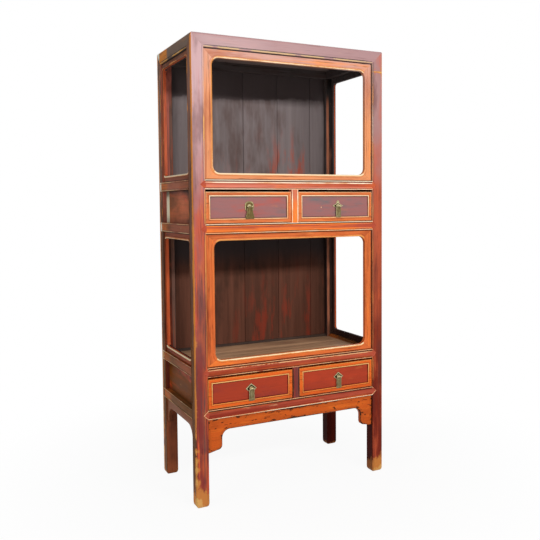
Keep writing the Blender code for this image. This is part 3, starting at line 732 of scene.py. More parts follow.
@dataclass(frozen=True)
class OldBoard:
    """A dull old board: two tones along the grain, red streaks, painted shade above and a tone for each
    plank.
    """

    # The range over which each noise or level comes to show
    FIGURE, STAIN, VEIN = (0.32, 0.68), (0.48, 0.70), (0.55, 0.72)
    FLAME, SOILED, GLOSS = (0.52, 0.66), (0.5, 1.1), (0.25, 0.75)
    MOST_TONE, LEAST_FLAME, MOST_SOOT, MOST_SOIL = 0.35, 0.15, 0.95, 0.8

    name: str
    light: RGB
    dark: RGB
    stain: RGB
    streak: RGB = (150, 62, 36)
    streaked: float = 0.0
    streak_span: Pair = (0.0, 2.0)
    streak_from: Pair = (-2.0, -1.0)
    soot: RGB = (34, 30, 31)
    soot_span: Pair = (5.0, 6.0)
    soot_tilt: float = 0.0
    figure: float = 1.0
    stained: float = 0.5
    veins: float = 0.35
    roughness: Pair = (0.45, 0.75)
    specular: float = 0.3

    def material(self, grain: Grain) -> bpy.types.Material:
        """Makes the board's material.

        Args:
            grain: The axis that the board runs along.

        Returns:
            The material.
        """
        graph = Graph(f"{self.name}_{grain.name.lower()}")
        spread, coat = graph.spread, graph.coat
        streak = graph.grained(grain, 2.0, 45.0, 5.0, 0.62)
        fine = graph.grained(grain, 14.0, 360.0)
        flame = graph.grained(grain, 4.0, 22.0, 5.0, 0.65)
        blotch = graph.grained(grain, 3.0, 9.0, 4.0, 0.6)
        across, height = graph.axis("X"), graph.axis("Z")
        half = self.figure / 2
        tone = coat(self.light, self.dark, spread(streak, self.FIGURE, 0.5 - half, 0.5 + half))
        tone = coat(tone, self.dark, spread(graph.attribute("tone"), (0.0, 1.0), 0.0, self.MOST_TONE))
        tone = coat(tone, self.stain, spread(blotch, self.STAIN, 0.0, self.stained))
        tone = coat(tone, self.stain, spread(fine, self.VEIN, 0.0, self.veins))
        below = spread(height, self.streak_span, self.streaked, 0.0)
        beyond = spread(across, self.streak_from, self.LEAST_FLAME, 1.0)
        flames = graph.math("MULTIPLY", graph.math("MULTIPLY", spread(flame, self.FLAME), below), beyond)
        tone = coat(tone, self.streak, flames)
        # Painted shade: the board darkens above a slightly tilted height, where the shadow under the bay's
        # top falls
        level = graph.sum(across, -self.soot_tilt, height)
        shaded_height = graph.sum(blotch, 0.05, level)
        tone = coat(tone, self.soot, spread(shaded_height, self.soot_span, 0.0, self.MOST_SOOT))
        soiled = graph.sum(blotch, 0.4, graph.attribute("grime"))
        tone = coat(tone, self.stain, spread(soiled, self.SOILED, 0.0, self.MOST_SOIL))
        return graph.shade(
            Base_Color=tone,
            Roughness=spread(blotch, self.GLOSS, *self.roughness),
            Specular_IOR_Level=self.specular,
            Normal=graph.bump(graph.sum(fine, 0.6, streak), 0.35, 0.0008),
        )


@dataclass(frozen=True)
class AgedBrass:
    """Old brass: bright where hands rub it, brown in the hollows."""

    # The range over which each noise or level comes to show
    RUBBED, STREAK, SOILED, GLOSS = (0.35, 1.1), (0.52, 0.68), (0.40, 0.95), (0.3, 0.7)
    MOST_STREAK, MOST_SOIL = 0.55, 0.85

    name: str = "aged_brass_look"
    bright: RGB = (198, 186, 144)
    dull: RGB = (104, 88, 52)
    tarnish: RGB = (46, 37, 24)
    roughness: Pair = (0.30, 0.52)

    def material(self, grain: Grain) -> bpy.types.Material:
        """Makes the brass, with streaks along a grain, and returns its material."""
        graph = Graph(self.name)
        spread, coat = graph.spread, graph.coat
        cloud = graph.noise(graph.place, 90.0, 4.0, 0.65)
        speck = graph.noise(graph.place, 600.0)
        streak = graph.grained(grain, 40.0, 420.0)
        rubbed = graph.sum(cloud, 0.6, graph.attribute("wear"))
        tone = coat(self.dull, self.bright, spread(rubbed, self.RUBBED))
        tone = coat(tone, self.tarnish, spread(streak, self.STREAK, 0.0, self.MOST_STREAK))
        soiled = graph.sum(cloud, 0.7, graph.attribute("grime"))
        tone = coat(tone, self.tarnish, spread(soiled, self.SOILED, 0.0, self.MOST_SOIL))
        return graph.shade(
            Base_Color=tone,
            Metallic=1.0,
            Roughness=spread(cloud, self.GLOSS, *self.roughness),
            Normal=graph.bump(speck, 0.25, 0.0003),
        )


Finish = Lacquer | OldBoard | AgedBrass


class Paintbox:
    """The cabinet's finishes, each made once for each grain."""

    # Its pale high colour is partly a painted sheen
    POST = Lacquer(
        "post_lacquer", (126, 46, 40), (160, 84, 76), (192, 153, 154), dark=(92, 60, 58),
        bright=(204, 84, 46), warm=(214, 100, 48), worn=(196, 122, 58), bare=(214, 160, 90), streaks=0.95,
        calm=0.15, specular=0.2,
    )
    RIGHT_POST = replace(
        POST, name="right_post_lacquer", low=(114, 34, 18), mid=(176, 85, 58), high=(168, 128, 126),
        dark=(90, 46, 40), bright=(206, 92, 56), levels=(0.35, 1.10, 1.62), blotches=0.5, streaks=0.6,
        specular=0.1,
    )
    POST_BEAD = Lacquer(
        "post_bead_lacquer", (150, 60, 40), (204, 130, 74), (208, 164, 152), dark=(110, 60, 44),
        bright=(226, 140, 70), worn=(226, 166, 96), bare=(240, 206, 150), specular=0.15,
    )
    RIGHT_POST_BEAD = replace(
        POST_BEAD, name="right_post_bead_lacquer", low=(112, 46, 28), mid=(150, 84, 56), high=(176, 150, 138),
        worn=(188, 128, 84), bare=(204, 170, 140),
    )
    POST_FLANK = Lacquer(
        "post_flank_lacquer", (108, 66, 30), (106, 68, 50), (126, 90, 76), dark=(70, 48, 32),
        bright=(146, 80, 46), worn=(214, 134, 58), bare=(232, 176, 92), specular=0.02,
    )
    # Its pale mauve is partly a painted sheen
    TOP = Lacquer(
        "top_rail_lacquer", (168, 130, 130), dark=(138, 98, 98), bright=(180, 124, 118), worn=(204, 170, 126),
        bare=(228, 186, 116), dirt=(44, 36, 30), blotches=0.4, scratches=0.25, specular=0.3,
    )
    FLANK_TOP = Lacquer(
        "flank_top_lacquer", (112, 90, 76), dark=(72, 58, 50), bright=(134, 96, 66), warm=(214, 128, 36),
        worn=(204, 152, 80), bare=(232, 236, 220), specular=0.02,
    )
    RAIL = Lacquer(
        "rail_lacquer", (142, 48, 32), (252, 132, 56), (216, 126, 104), dark=(136, 52, 38),
        bright=(244, 126, 54), warm=(180, 80, 58), worn=(232, 178, 130), bare=(248, 232, 204),
        dirt=(40, 32, 30), levels=(0.35, 1.07, 1.24), blotches=0.25, streaks=0.35, specular=0.06,
    )
    FLANK_RAIL = Lacquer(
        "flank_rail_lacquer", (118, 74, 34), (148, 80, 54), (174, 104, 76), dark=(80, 60, 36),
        bright=(178, 84, 40), warm=(196, 104, 40), worn=(214, 172, 124), bare=(246, 240, 222), specular=0.02,
    )
    FRET_LOWER = Lacquer(
        "lower_fret_lacquer", (224, 110, 54), (212, 110, 56), (212, 110, 56), dark=(146, 60, 32),
        bright=(244, 130, 52), worn=(228, 150, 80), bare=(246, 222, 180), dirt=(30, 18, 14), streaks=0.6,
        specular=0.12,
    )
    FRET_UPPER = Lacquer(
        "upper_fret_lacquer", (234, 152, 96), (226, 148, 100), (206, 156, 142), dark=(176, 98, 66),
        bright=(240, 146, 80), worn=(214, 138, 72), bare=(244, 212, 172), dirt=(30, 18, 14),
        levels=(0.35, 1.55, 1.78), streaks=0.6, specular=0.12,
    )
    # The flank frets' face: a darker copy of the fret colour, as painted shade
    FLANK_FRET = Lacquer(
        "flank_fret_lacquer", (132, 58, 30), (140, 66, 38), (130, 80, 58), dark=(72, 38, 28),
        bright=(176, 78, 34), worn=(200, 124, 68), bare=(240, 220, 184), dirt=(26, 18, 16), specular=0.02,
    )
    REVEAL = Lacquer(
        "reveal_lacquer", (190, 80, 40), (200, 88, 50), (206, 92, 52), dark=(120, 54, 34),
        bright=(226, 110, 60), worn=(214, 130, 80), bare=(226, 170, 120), specular=0.1,
    )
    APRON = Lacquer(
        "apron_lacquer", (200, 88, 28), dark=(136, 58, 22), bright=(224, 112, 36), worn=(186, 84, 28),
        bare=(42, 24, 14), dirt=(50, 24, 12), rub=0.25, pits=0.85, scratches=0.2, specular=0.1,
    )
    FLANK_APRON = Lacquer(
        "flank_apron_lacquer", (116, 62, 36), dark=(72, 42, 32), bright=(160, 78, 38), worn=(140, 84, 54),
        bare=(150, 98, 64), specular=0.04,
    )
    DRAWER_UPPER = Lacquer(
        "upper_drawer_lacquer", (216, 116, 62), dark=(150, 66, 34), bright=(240, 128, 54),
        worn=(236, 186, 136), bare=(244, 220, 186), blotches=0.35, specular=0.15,
    )
    DRAWER_LOWER = Lacquer(
        "lower_drawer_lacquer", (226, 98, 30), dark=(150, 60, 28), bright=(240, 122, 42), worn=(222, 140, 66),
        bare=(226, 180, 112), blotches=0.35, specular=0.15,
    )
    FIELD_UPPER = Lacquer(
        "upper_field_lacquer", (152, 102, 100), dark=(104, 106, 108), bright=(186, 86, 74), blotches=1.0,
        streaks=0.15, scuffs=0.15, scratches=0.1, specular=0.12,
    )
    FIELD_LOWER = Lacquer(
        "lower_field_lacquer", (164, 60, 38), dark=(136, 54, 50), bright=(186, 66, 40), blotches=0.6,
        streaks=0.15, scuffs=0.15, scratches=0.15, specular=0.08,
    )
    # A dark stain for the faces inside the cabinet, kept dark also as painted shade
    INSIDE = Lacquer(
        "inside_lacquer", (60, 34, 28), (46, 36, 33), (84, 76, 75), dark=(34, 29, 28), bright=(76, 56, 50),
        warm=(84, 76, 75), worn=(60, 48, 42), bare=(74, 52, 38), roughness=(0.5, 0.8), specular=0.05,
    )
    # The dark colour of its middle heights is painted shade
    INNER_FACE = Lacquer(
        "inner_face_lacquer", (112, 48, 34), (70, 46, 36), (196, 108, 92), dark=(70, 48, 40),
        bright=(180, 88, 60), warm=(120, 86, 74), worn=(160, 110, 70), bare=(180, 130, 84),
        levels=(0.55, 0.95, 1.35), specular=0.04,
    )
    # A darker copy of the inner face's finish for the right posts: painted shade
    RIGHT_INNER_FACE = replace(
        INNER_FACE, name="right_inner_face_lacquer", low=(50, 36, 31), mid=(40, 33, 31), high=(38, 34, 33),
        dark=(30, 25, 24), bright=(70, 48, 38), warm=(176, 108, 80),
    )
    LEG_INNER = Lacquer(
        "inner_leg_lacquer", (154, 84, 54), dark=(84, 48, 38), bright=(174, 88, 48), warm=(154, 84, 54),
        worn=(150, 90, 48), bare=(170, 116, 66), specular=0.04,
    )
    # A darker copy of the inner leg's finish for the right legs: painted shade
    RIGHT_LEG_INNER = replace(
        LEG_INNER, name="right_inner_leg_lacquer", low=(66, 16, 10), dark=(30, 12, 10), bright=(92, 28, 16),
        warm=(70, 18, 12), specular=0.02,
    )
    FLANK_PANEL = Lacquer(
        "flank_panel_lacquer", (122, 66, 18), (156, 78, 38), (248, 142, 102), dark=(116, 76, 54),
        bright=(244, 92, 54), worn=(206, 150, 84), bare=(240, 232, 204), blotches=0.8, streaks=0.2,
        scratches=0.15, specular=0.02,
    )
    # Its grey tone is partly a painted sheen
    BACK_UPPER = OldBoard(
        "upper_back_board", (142, 130, 130), (104, 94, 93), (86, 66, 60), streak=(180, 72, 40), streaked=0.8,
        # painted shade: the upper back is darkened above the edge of the shadow under the top
        streak_span=(1.26, 1.56), streak_from=(-0.05, 0.20), soot=(80, 70, 70), soot_span=(1.654, 1.666),
        soot_tilt=0.04, figure=0.4, stained=0.65, veins=0.08, specular=0.08,
    )
    BACK_LOWER = OldBoard(
        "lower_back_board", (110, 68, 53), (76, 47, 36), (48, 37, 29), streak=(144, 52, 34), streaked=0.7,
        # painted shade: the lower back is darkened under the top of the lower bay
        streak_span=(0.55, 1.0), streak_from=(-0.20, 0.10), soot=(62, 54, 54), soot_span=(0.88, 1.00),
        figure=0.6, stained=0.65, veins=0.15, specular=0.05,
    )
    SHELF = OldBoard("shelf_board_look", (212, 170, 132), (176, 134, 102), (112, 80, 60), specular=0.2)
    DARK = OldBoard("dark_board_look", (84, 62, 50), (58, 42, 34), (34, 26, 22))
    ROOF = OldBoard("roof_board_look", (150, 132, 128), (128, 112, 109), (96, 84, 82), specular=0.03)
    INNER = OldBoard("drawer_wood_look", (186, 148, 108), (158, 118, 82), (112, 80, 54))
    BRASS = AgedBrass()

    def __init__(self) -> None:
        """Starts with no material made."""
        self.made: dict[str, bpy.types.Material] = {}

    def get(self, finish: Finish, grain: Grain = Grain.Z) -> bpy.types.Material:
        """Returns a finish's material for a grain, and makes it the first time."""
        key = f"{finish.name} {grain.name}"
        if key not in self.made:
            self.made[key] = finish.material(grain)
        return self.made[key]


@dataclass
class Piece:
    """One piece of the carcass, which stands for a CAD node."""

    NODE = ""
    SLOT = "red_lacquer"
    SEED = 0

    paintbox: Paintbox

    @property
    def node(self) -> str:
        """The CAD node that this piece stands for, with the piece's own fields filled in."""
        return self.NODE.format(**{key: getattr(item, "value", item) for key, item in vars(self).items()})

    def build(self) -> bpy.types.Object:
        """Builds the piece and returns it."""
        raise NotImplementedError

    def chance(self) -> random.Random:
        """Starts the piece's own random draws."""
        return random.Random(f"{self.node} {self.SEED}")

    def finished(self, carving: Carving, *finishes: Finish, grain: Grain = Grain.Z) -> bpy.types.Object:
        """Turns a carving into the piece, in finishes that follow one grain."""
        materials = [self.paintbox.get(finish, grain) for finish in finishes]
        return carving.finished(f"dressed_{self.node}", materials)

    def dress(self) -> None:
        """Builds the piece and puts it on its node."""
        install(self.build(), self.node)


# Posts and rails


def mitre_corner(carving: Carving, member: Grain, side_x: int, side_y: int) -> None:
    """Cuts one member of a three-way mitred top corner.

    Args:
        carving: The member's carving.
        member: The axis that the member runs along.
        side_x: -1 for a left corner, 1 for a right one.
        side_y: -1 for a front corner, 1 for a rear one.
    """
    # How fast the corner's shares along X, Y and Z grow away from its tip
    slopes = (
        Vector((-side_x / CABINET.post_w, 0, 0)),
        Vector((0, -side_y / CABINET.post_d, 0)),
        Vector((0, 0, -1 / CABINET.top_rail_h)),
    )
    tip = Vector((side_x * CABINET.half_w, side_y * CABINET.half_d, CABINET.height))
    for axis in Grain:
        if axis is not member:
            carving.mitre(tip, (slopes[axis.value] - slopes[member.value]).normalized())
    carving.mitre(tip - Vector((side_x * CORNER_EASE, 0, 0)), Vector((side_x, 0, 1)).normalized())


class PostFace(IntEnum):
    """The place of each of a post's finishes in its list of materials."""

    OUTER, FLANK, INSIDE, INNER_FACE, LEG_INNER, BEAD = range(6)


@dataclass
class Post(Piece):
    """One of the four posts, with a worn foot, a rubbed outer arris and beads on its inner edges."""

    NODE = "post_{end}_{side}"
    SEED = 11
    COLUMNS = (
        [PostFace.FLANK] * 4
        + [PostFace.OUTER] * 7
        + [PostFace.BEAD] * 2
        + [PostFace.INSIDE] * 2
        + [PostFace.INNER_FACE] * 3
        + [PostFace.FLANK]
    )
    # What each draw may give: the wear of the edges, the warmth, and the extra wear of a rubbed leg
    EDGES, WARMTHS, LEG_RUBS = (0.6, 1.0), (-0.15, 0.25), (0.0, 1.9)
    BRIGHT_BEAD, DULL_BEAD = (0.1, 0.65), (0.0, 0.3)

    side: Side
    end: Side
    cracks: tuple[float, ...] = ()
    crack_h: float = 0.0065
    arris: float = 0.003
    inner_arris: float = 0.0018
    rub_w: float = 0.024
    groove_w: float = 0.0024
    foot_eases: tuple[Pair, ...] = ((0.0, 0.0090), (0.0020, 0.0052), (0.0060, 0.0020), (0.0120, 0.0004))
    foot_edges: float = 0.5
    foot_rings: tuple[float, ...] = (
        0.018, 0.030, 0.050, 0.080, 0.105, 0.130, 0.150, 0.168,
        0.190, 0.206, 0.225, 0.240, 0.260, 0.282, 0.300,
    )
    worn_feet: Pair = (0.130, 0.095)
    foot_wears: Pair = (0.95, 0.6)
    foot_fade: float = 1.2
    rubbed_leg: float = 0.335
    least_rub: float = 0.15
    warm_tops: tuple[Pair, Pair] = ((1.25, 1.60), (1.50, 1.72))
    lip: float = 0.0055
    strip_end: float = 0.036
    ring_gap: float = 0.085
    bead_size: Pair = (0.0055, 0.0014)
    bead_inset: float = 0.003
    bead_stop: float = 0.002
    bright_beads: float = 1.0

    def marks(self) -> list[Mark]:
        """Lays out the cross-section, across from the flank's face and back from the end's face."""
        width, depth = CABINET.post_w, CABINET.post_d
        outer, inner = self.arris, self.inner_arris
        tip = outer * ARRIS_MIDDLE
        groove = width - 2 * self.bead_inset
        soil = 0.5 if self.end is Side.FRONT else 0.0
        return [
            Mark(0, depth - inner, grime=0.3), Mark(0, self.rub_w), Mark(0, self.rub_w / 2, wear=0.6),
            Mark(0, outer, wear=0.9), Mark(tip, tip, wear=0.8), Mark(outer, 0, wear=0.40),
            Mark(3 * outer, 0, wear=0.34), Mark(width / 2, 0, warmth=0.25),
            Mark(groove - 2 * self.groove_w, 0, warmth=0.55), Mark(groove - self.groove_w, 0, grime=soil),
            Mark(groove, 0, grime=soil), Mark(width - inner, 0), Mark(width, inner, grime=0.1),
            Mark(width, self.lip, grime=0.4), Mark(width, depth - inner),
            Mark(width - inner, depth, warmth=1.0), Mark(self.strip_end, depth, warmth=1.0),
            Mark(self.strip_end - self.groove_w, depth), Mark(inner, depth),
        ]

    def place(self, mark: Mark, z: float, inset: float) -> Vector:
        """Puts a point of the cross-section at a height, with the section drawn in by an inset."""
        x = CABINET.half_w - inset - mark.across * (1 - 2 * inset / CABINET.post_w)
        y = CABINET.half_d - inset - mark.depth * (1 - 2 * inset / CABINET.post_d)
        return Vector((self.side.sign * x, self.end.sign * y, z))

    def stations(self, chance: random.Random) -> list[Station]:
        """Returns the rings above the eased foot, worn at the foot and along the leg's arris."""
        leg = Rail.LEVELS["lower_drawer"][0]
        count = math.ceil((CABINET.height - leg) / self.ring_gap)
        levels = [*self.foot_rings, leg]
        levels += [leg + (CABINET.height - leg) * (index + 1) / count for index in range(count)]
        rear, right = self.end is Side.REAR, self.side is Side.RIGHT
        cool, cold = self.warm_tops[1 if rear else 0]
        found = []
        for z in levels:
            edges, warmth = chance.uniform(*self.EDGES), chance.uniform(*self.WARMTHS)
            if right:
                edges, warmth = edges / 2, warmth if rear else -1.0
            elif z < self.rubbed_leg:
                edges = self.least_rub + edges * chance.uniform(*self.LEG_RUBS)
            chill = min(max((z - cool) / (cold - cool), 0.0), 1.0)
            found.append(Station(z, edges, self.foot_wear(z), warmth=warmth - chill))
        for z in self.cracks:
            found += [Station(z - self.crack_h), Station(z, wear=1.0), Station(z + self.crack_h)]
        return sorted(found, key=lambda station: station.along)

    def foot_wear(self, z: float) -> float:
        """Returns how worn the foot is at a height."""
        reach = self.worn_feet[0 if self.side is Side.LEFT else 1]
        front = self.end is Side.FRONT
        reach, most = (reach, self.foot_wears[0]) if front else (reach / 2, self.foot_wears[1])
        return most * max(0.0, 1 - z / reach) ** self.foot_fade

    def build(self) -> bpy.types.Object:
        """Builds the post and returns it."""
        chance = self.chance()
        carving = Carving()
        marks = self.marks()
        feet = [(Station(z, self.foot_edges, self.foot_wear(z)), inset) for z, inset in self.foot_eases]
        spots = feet + [(station, 0.0) for station in self.stations(chance)]
        rings = []
        for station, inset in spots:
            places = [self.place(mark, station.along, inset) for mark in marks]
            rings.append(carving.profile_ring(places, marks, station))
        leg = Rail.LEVELS["lower_drawer"][0]
        leg_columns = [PostFace.LEG_INNER if face > PostFace.FLANK else face for face in self.COLUMNS]
        bands = [leg_columns if station.along <= leg else self.COLUMNS for station, _ in spots[1:]]
        carving.loft(rings, bands)
        mitre_corner(carving, Grain.Z, self.side.sign, self.end.sign)
        self.add_beads(carving, chance)
        box = self.paintbox
        if self.side is Side.LEFT:
            outer, inner, leg_inner, bead = box.POST, box.INNER_FACE, box.LEG_INNER, box.POST_BEAD
        else:
            # The right posts' inner faces take the darker copies, as painted shade
            outer, inner = box.RIGHT_POST, box.RIGHT_INNER_FACE
            leg_inner, bead = box.RIGHT_LEG_INNER, box.RIGHT_POST_BEAD
        return self.finished(carving, outer, box.POST_FLANK, box.INSIDE, inner, leg_inner, bead)

    def add_beads(self, carving: Carving, chance: random.Random) -> None:
        """Lays the beads along the post's inner edges, between the rails."""
        bounds = [*Rail.LEVELS.values(), (CABINET.height - CABINET.top_rail_h, CABINET.height)]
        faces = [(self.side, self.end.sign * (self.side.clear + self.bead_inset), PostFace.FLANK)]
        if self.end is Side.FRONT:
            x = self.side.sign * (Side.FRONT.clear + self.bead_inset)
            faces.append((Side.FRONT, x, PostFace.BEAD))
        for below, above in zip(bounds, bounds[1:]):
            low, high = below[1] + self.bead_stop, above[0] - self.bead_stop
            wear = self.BRIGHT_BEAD if low > self.bright_beads else self.DULL_BEAD
            for side, along, finish in faces:
                carving.bead(side, ((along, low), (along, high)), self.bead_size, chance, wear, finish=finish)


@dataclass
class TopRail(Piece):
    """One of the four top rails, mitred at both ends, with a bead and a groove on its lower edge."""

    NODE = "top_rail_{side}"
    SEED = 23
    # The finish of each column of faces: 0 outer face and top, 1 inner face and underside, whose dark finish
    # also paints their shade
    COLUMNS = [0] * 7 + [1] * 4 + [0]
    EDGES = (0.6, 1.0)
    # The bead and the groove: their height above the foot, their size, their wear and their grime
    LINES = ((0.0036, (0.0062, 0.0015), (0.2, 1.0), 0.0), (0.0084, (0.0030, 0.0002), (0.0, 0.0), 1.0))

    side: Side
    arris: float = 0.0035
    inner_arris: float = 0.002
    ring_gap: float = 0.10
    warm_end: Pair = (0.060, 0.090)
    worn_end: Pair = (0.174, 0.184)

    def marks(self) -> list[Mark]:
        """Lays out the cross-section, as height and depth behind the outer face."""
        width = CABINET.post_d if self.side.broad else CABINET.post_w
        top = CABINET.height
        foot = top - CABINET.top_rail_h
        outer, inner = self.arris, self.inner_arris
        tip = outer * ARRIS_MIDDLE
        return [
            Mark(foot + inner, 0), Mark((foot + top) / 2, 0), Mark(top - 2.5 * outer, 0),
            Mark(top - outer, 0, wear=0.1, grime=0.15), Mark(top - tip, tip, wear=0.1, grime=0.35),
            Mark(top, outer, wear=0.2), Mark(top, 2.5 * outer), Mark(top, width - inner),
            Mark(top - inner, width), Mark(foot + inner, width), Mark(foot, width - inner),
            Mark(foot, inner, grime=0.5),
        ]

    def stations(self, chance: random.Random) -> list[Station]:
        """Returns the rings along the rail; a flank's rear end is warm and then worn pale."""
        reach = self.side.reach
        if self.side.broad:
            count = round(2 * reach / self.ring_gap)
            places = [reach * (2 * index / count - 1) for index in range(count + 1)]
            return [Station(along, chance.uniform(*self.EDGES)) for along in places]
        warm, hot = self.warm_end
        worn, bare = self.worn_end
        return [
            Station(-reach), Station(-reach / 2), Station(warm), Station(hot, warmth=0.9),
            Station(worn, warmth=1.0), Station(bare, wear=0.95, warmth=1.0), Station(reach, wear=1.1),
        ]

    def build(self) -> bpy.types.Object:
        """Builds the rail, with its lines on all but the rear one, and returns it."""
        chance = self.chance()
        carving = Carving()
        carving.swept(self.side, self.stations(chance), self.marks(), self.COLUMNS)
        for end in (-1, 1):
            corner = (end, self.side.sign) if self.side.broad else (self.side.sign, end)
            mitre_corner(carving, self.side.grain, *corner)
        foot, clear = CABINET.height - CABINET.top_rail_h, self.side.clear
        lines = () if self.side is Side.REAR else self.LINES
        for level, size, wear, grime in lines:
            ends = ((-clear, foot + level), (clear, foot + level))
            carving.bead(self.side, ends, size, chance, wear, grime)
        finish = Paintbox.TOP if self.side.broad else Paintbox.FLANK_TOP
        return self.finished(carving, finish, Paintbox.INSIDE, grain=self.side.grain)


@dataclass
class Rail(Piece):
    """A rail of the front or a flank, with a bead along its edges."""

    NODE = "rail_{side}_{level}"
    SEED = 37
    LEVELS = {
        "lower_drawer": (0.3395, 0.3765),
        "lower_shelf": (0.5030, 0.5400),
        "upper_drawer": (1.0520, 1.0890),
        "upper_shelf": (1.2205, 1.2575),
    }
    # How bright the bead of a front rail is
    GLINTS = {"lower_drawer": 0.50, "lower_shelf": 0.55, "upper_drawer": 0.95, "upper_shelf": 1.2}
    # How much of that, and of the grime, the bead's lower edge has
    LOW_EDGES = {"lower_drawer": (1.5, 0.2)}
    LOW_EDGE = (0.7, 0.6)
    # How worn the mitred points of a front rail are
    TIPS = {"lower_drawer": 0.40, "lower_shelf": 0.20, "upper_drawer": 0.15, "upper_shelf": 0.15}
    # How pale the rear end of a flank rail is
    PALE = {"lower_drawer": 0.2, "lower_shelf": 0.5, "upper_drawer": 1.0, "upper_shelf": 1.0}
    EDGES = (0.6, 1.0)

    side: Side
    level: str
    mitre: float = 0.020
    tip_fade: float = 0.2
    lap: float = 0.030
    line_drop: float = 0.0105
    line_size: Pair = (0.0044, 0.0009)
    line_wear: Pair = (0.6, 1.2)
    face: float = -0.00035
    warm_end: Pair = (0.060, 0.120)
    worn_end: float = 0.016
    worn_fade: float = 0.003

    def outline(self) -> Outline:
        """Returns what shows of a front rail, with its mitred points."""
        low, high = self.LEVELS[self.level]
        clear = self.side.clear
        tip, middle = clear + self.mitre, (low + high) / 2
        near, rise = clear + self.mitre * self.tip_fade, (high - low) / 2 * self.tip_fade
        right = [(clear, low), (near, low + rise), (tip, middle), (near, high - rise), (clear, high)]
        return right + [(-x, z) for x, z in reversed(right)]

    def corners(self) -> list[Corner]:
        """Returns how each corner of a front rail's outline differs: the mitred points are plainer."""
        glint = self.GLINTS[self.level]
        share, soil = self.LOW_EDGES.get(self.level, self.LOW_EDGE)
        low, tip, high = Corner(share * glint, soil), Corner(self.TIPS[self.level], 0.2, 0.9), Corner(glint)
        return [low, tip, tip, tip, high, high, tip, tip, tip, low]

    def steps(self) -> list[Step]:
        """Returns a front rail's profile: a bead round the edge, a groove and the flat face."""
        return [
            Step(0, CABINET.rail_t), Step(0, 0.0030), Step(0, 0.0002, grime=0.9),
            Step(0.0005, -0.0008, wear=0.9), Step(0.0016, -0.0014, wear=1.3), Step(0.0029, -0.0008, wear=1.0),
            Step(0.0036, -0.0001, grime=1.1), Step(0.0068, -0.0001, grime=1.0),
            Step(0.0080, self.face, grime=0.1), Step(0.0100, self.face),
        ]

    def marks(self) -> list[Mark]:
        """Lays out a flank rail's cross-section, as height and depth behind the outer face."""
        low, high = self.LEVELS[self.level]
        return [
            Mark(low, CABINET.rail_t), Mark(low, 0.0002, grime=1.0), Mark(low + 0.0006, -0.0008, wear=0.5),
            Mark(low + 0.0020, -0.0014, wear=0.7), Mark(low + 0.0034, -0.0008, wear=0.4),
            Mark(low + 0.0042, 0.0, grime=0.9), Mark(low + 0.0064, self.face, grime=0.1),
            Mark((low + high) / 2, self.face), Mark(high - 0.0075, self.face, grime=0.1),
            Mark(high - 0.0050, 0.0, grime=0.9), Mark(high - 0.0036, -0.0008, wear=0.4),
            Mark(high - 0.0018, -0.0014, wear=0.6), Mark(high - 0.0004, -0.0007, wear=0.3),
            Mark(high, 0.0002, grime=0.6), Mark(high, CABINET.rail_t),
        ]

    def stations(self, chance: random.Random) -> list[Station]:
        """Returns the rings along a flank rail, whose rear end is warm and then worn pale."""
        clear, end = self.side.clear, self.side.clear + self.lap
        warm, hot = self.warm_end
        pale = self.PALE[self.level]
        return [Station(along, chance.uniform(*self.EDGES)) for along in (-clear, -clear / 2, 0.0)] + [
            Station(warm), Station(hot, warmth=0.7),
            Station(end - self.worn_end - self.worn_fade, warmth=0.8),
            Station(end - self.worn_end, wear=0.8 * pale), Station(end - self.worn_fade, wear=1.15 * pale),
            Station(end, wear=0.9 * pale),
        ]

    def build(self) -> bpy.types.Object:
        """Builds the rail, with a worn line on a front rail under a bay, and returns it."""
        chance = self.chance()
        carving = Carving()
        if not self.side.broad:
            carving.swept(self.side, self.stations(chance), self.marks())
            return self.finished(carving, Paintbox.FLANK_RAIL, grain=self.side.grain)
        carving.moulded(self.side, self.outline(), self.steps(), corners=self.corners())
        if self.level.endswith("shelf"):
            z, clear = self.LEVELS[self.level][1] - self.line_drop, self.side.clear
            least, most = (level * self.GLINTS[self.level] for level in self.line_wear)
            ends = ((-clear, z), (clear, z))
            carving.bead(self.side, ends, self.line_size, chance, (least, most), depth=self.face)
        return self.finished(carving, Paintbox.RAIL, grain=self.side.grain)

    def dress(self) -> None:
        """Builds the rail and puts it on its node."""
        install(self.build(), self.node)


@dataclass
class Stile(Piece):
    """The upright between the two drawers of a row, with a bead along each edge."""

    NODE = "stile_{row}"
    SEED = 41
    # The wear and the grime of each row's beads
    BEADS = {"upper": ((0.8, 1.3), 0.0), "lower": ((0.0, 0.3), 0.8)}

    row: str
    span: Pair = (-0.010, 0.020)
    thickness: float = 0.026
    arris: float = 0.0006
    bead_size: Pair = (0.005, 0.0013)
    bead_inset: float = 0.0030

    def build(self) -> bpy.types.Object:
        """Builds the stile and returns it."""
        chance = self.chance()
        low, high = self.span
        bottom = Rail.LEVELS[f"{self.row}_drawer"][1]
        top = Rail.LEVELS[f"{self.row}_shelf"][0]
        steps = [
            Step(0, self.thickness), Step(0, self.arris, wear=0.3),
            Step(self.arris, 0.0, wear=0.3, grime=0.4), Step(0.004, 0.0),
        ]
        carving = Carving()
        carving.moulded(Side.FRONT, rectangle((low, bottom), (high, top)), steps)
        for x in (low + self.bead_inset, high - self.bead_inset):
            carving.bead(Side.FRONT, ((x, bottom), (x, top)), self.bead_size, chance, *self.BEADS[self.row])
        return self.finished(carving, Paintbox.RAIL if self.row == "upper" else Paintbox.POST)


# Frets and aprons


class FretFace(IntEnum):
    """The place of each of a fret's finishes in its list of materials."""

    UPRIGHT, LEVEL, REVEAL, INSIDE = range(4)


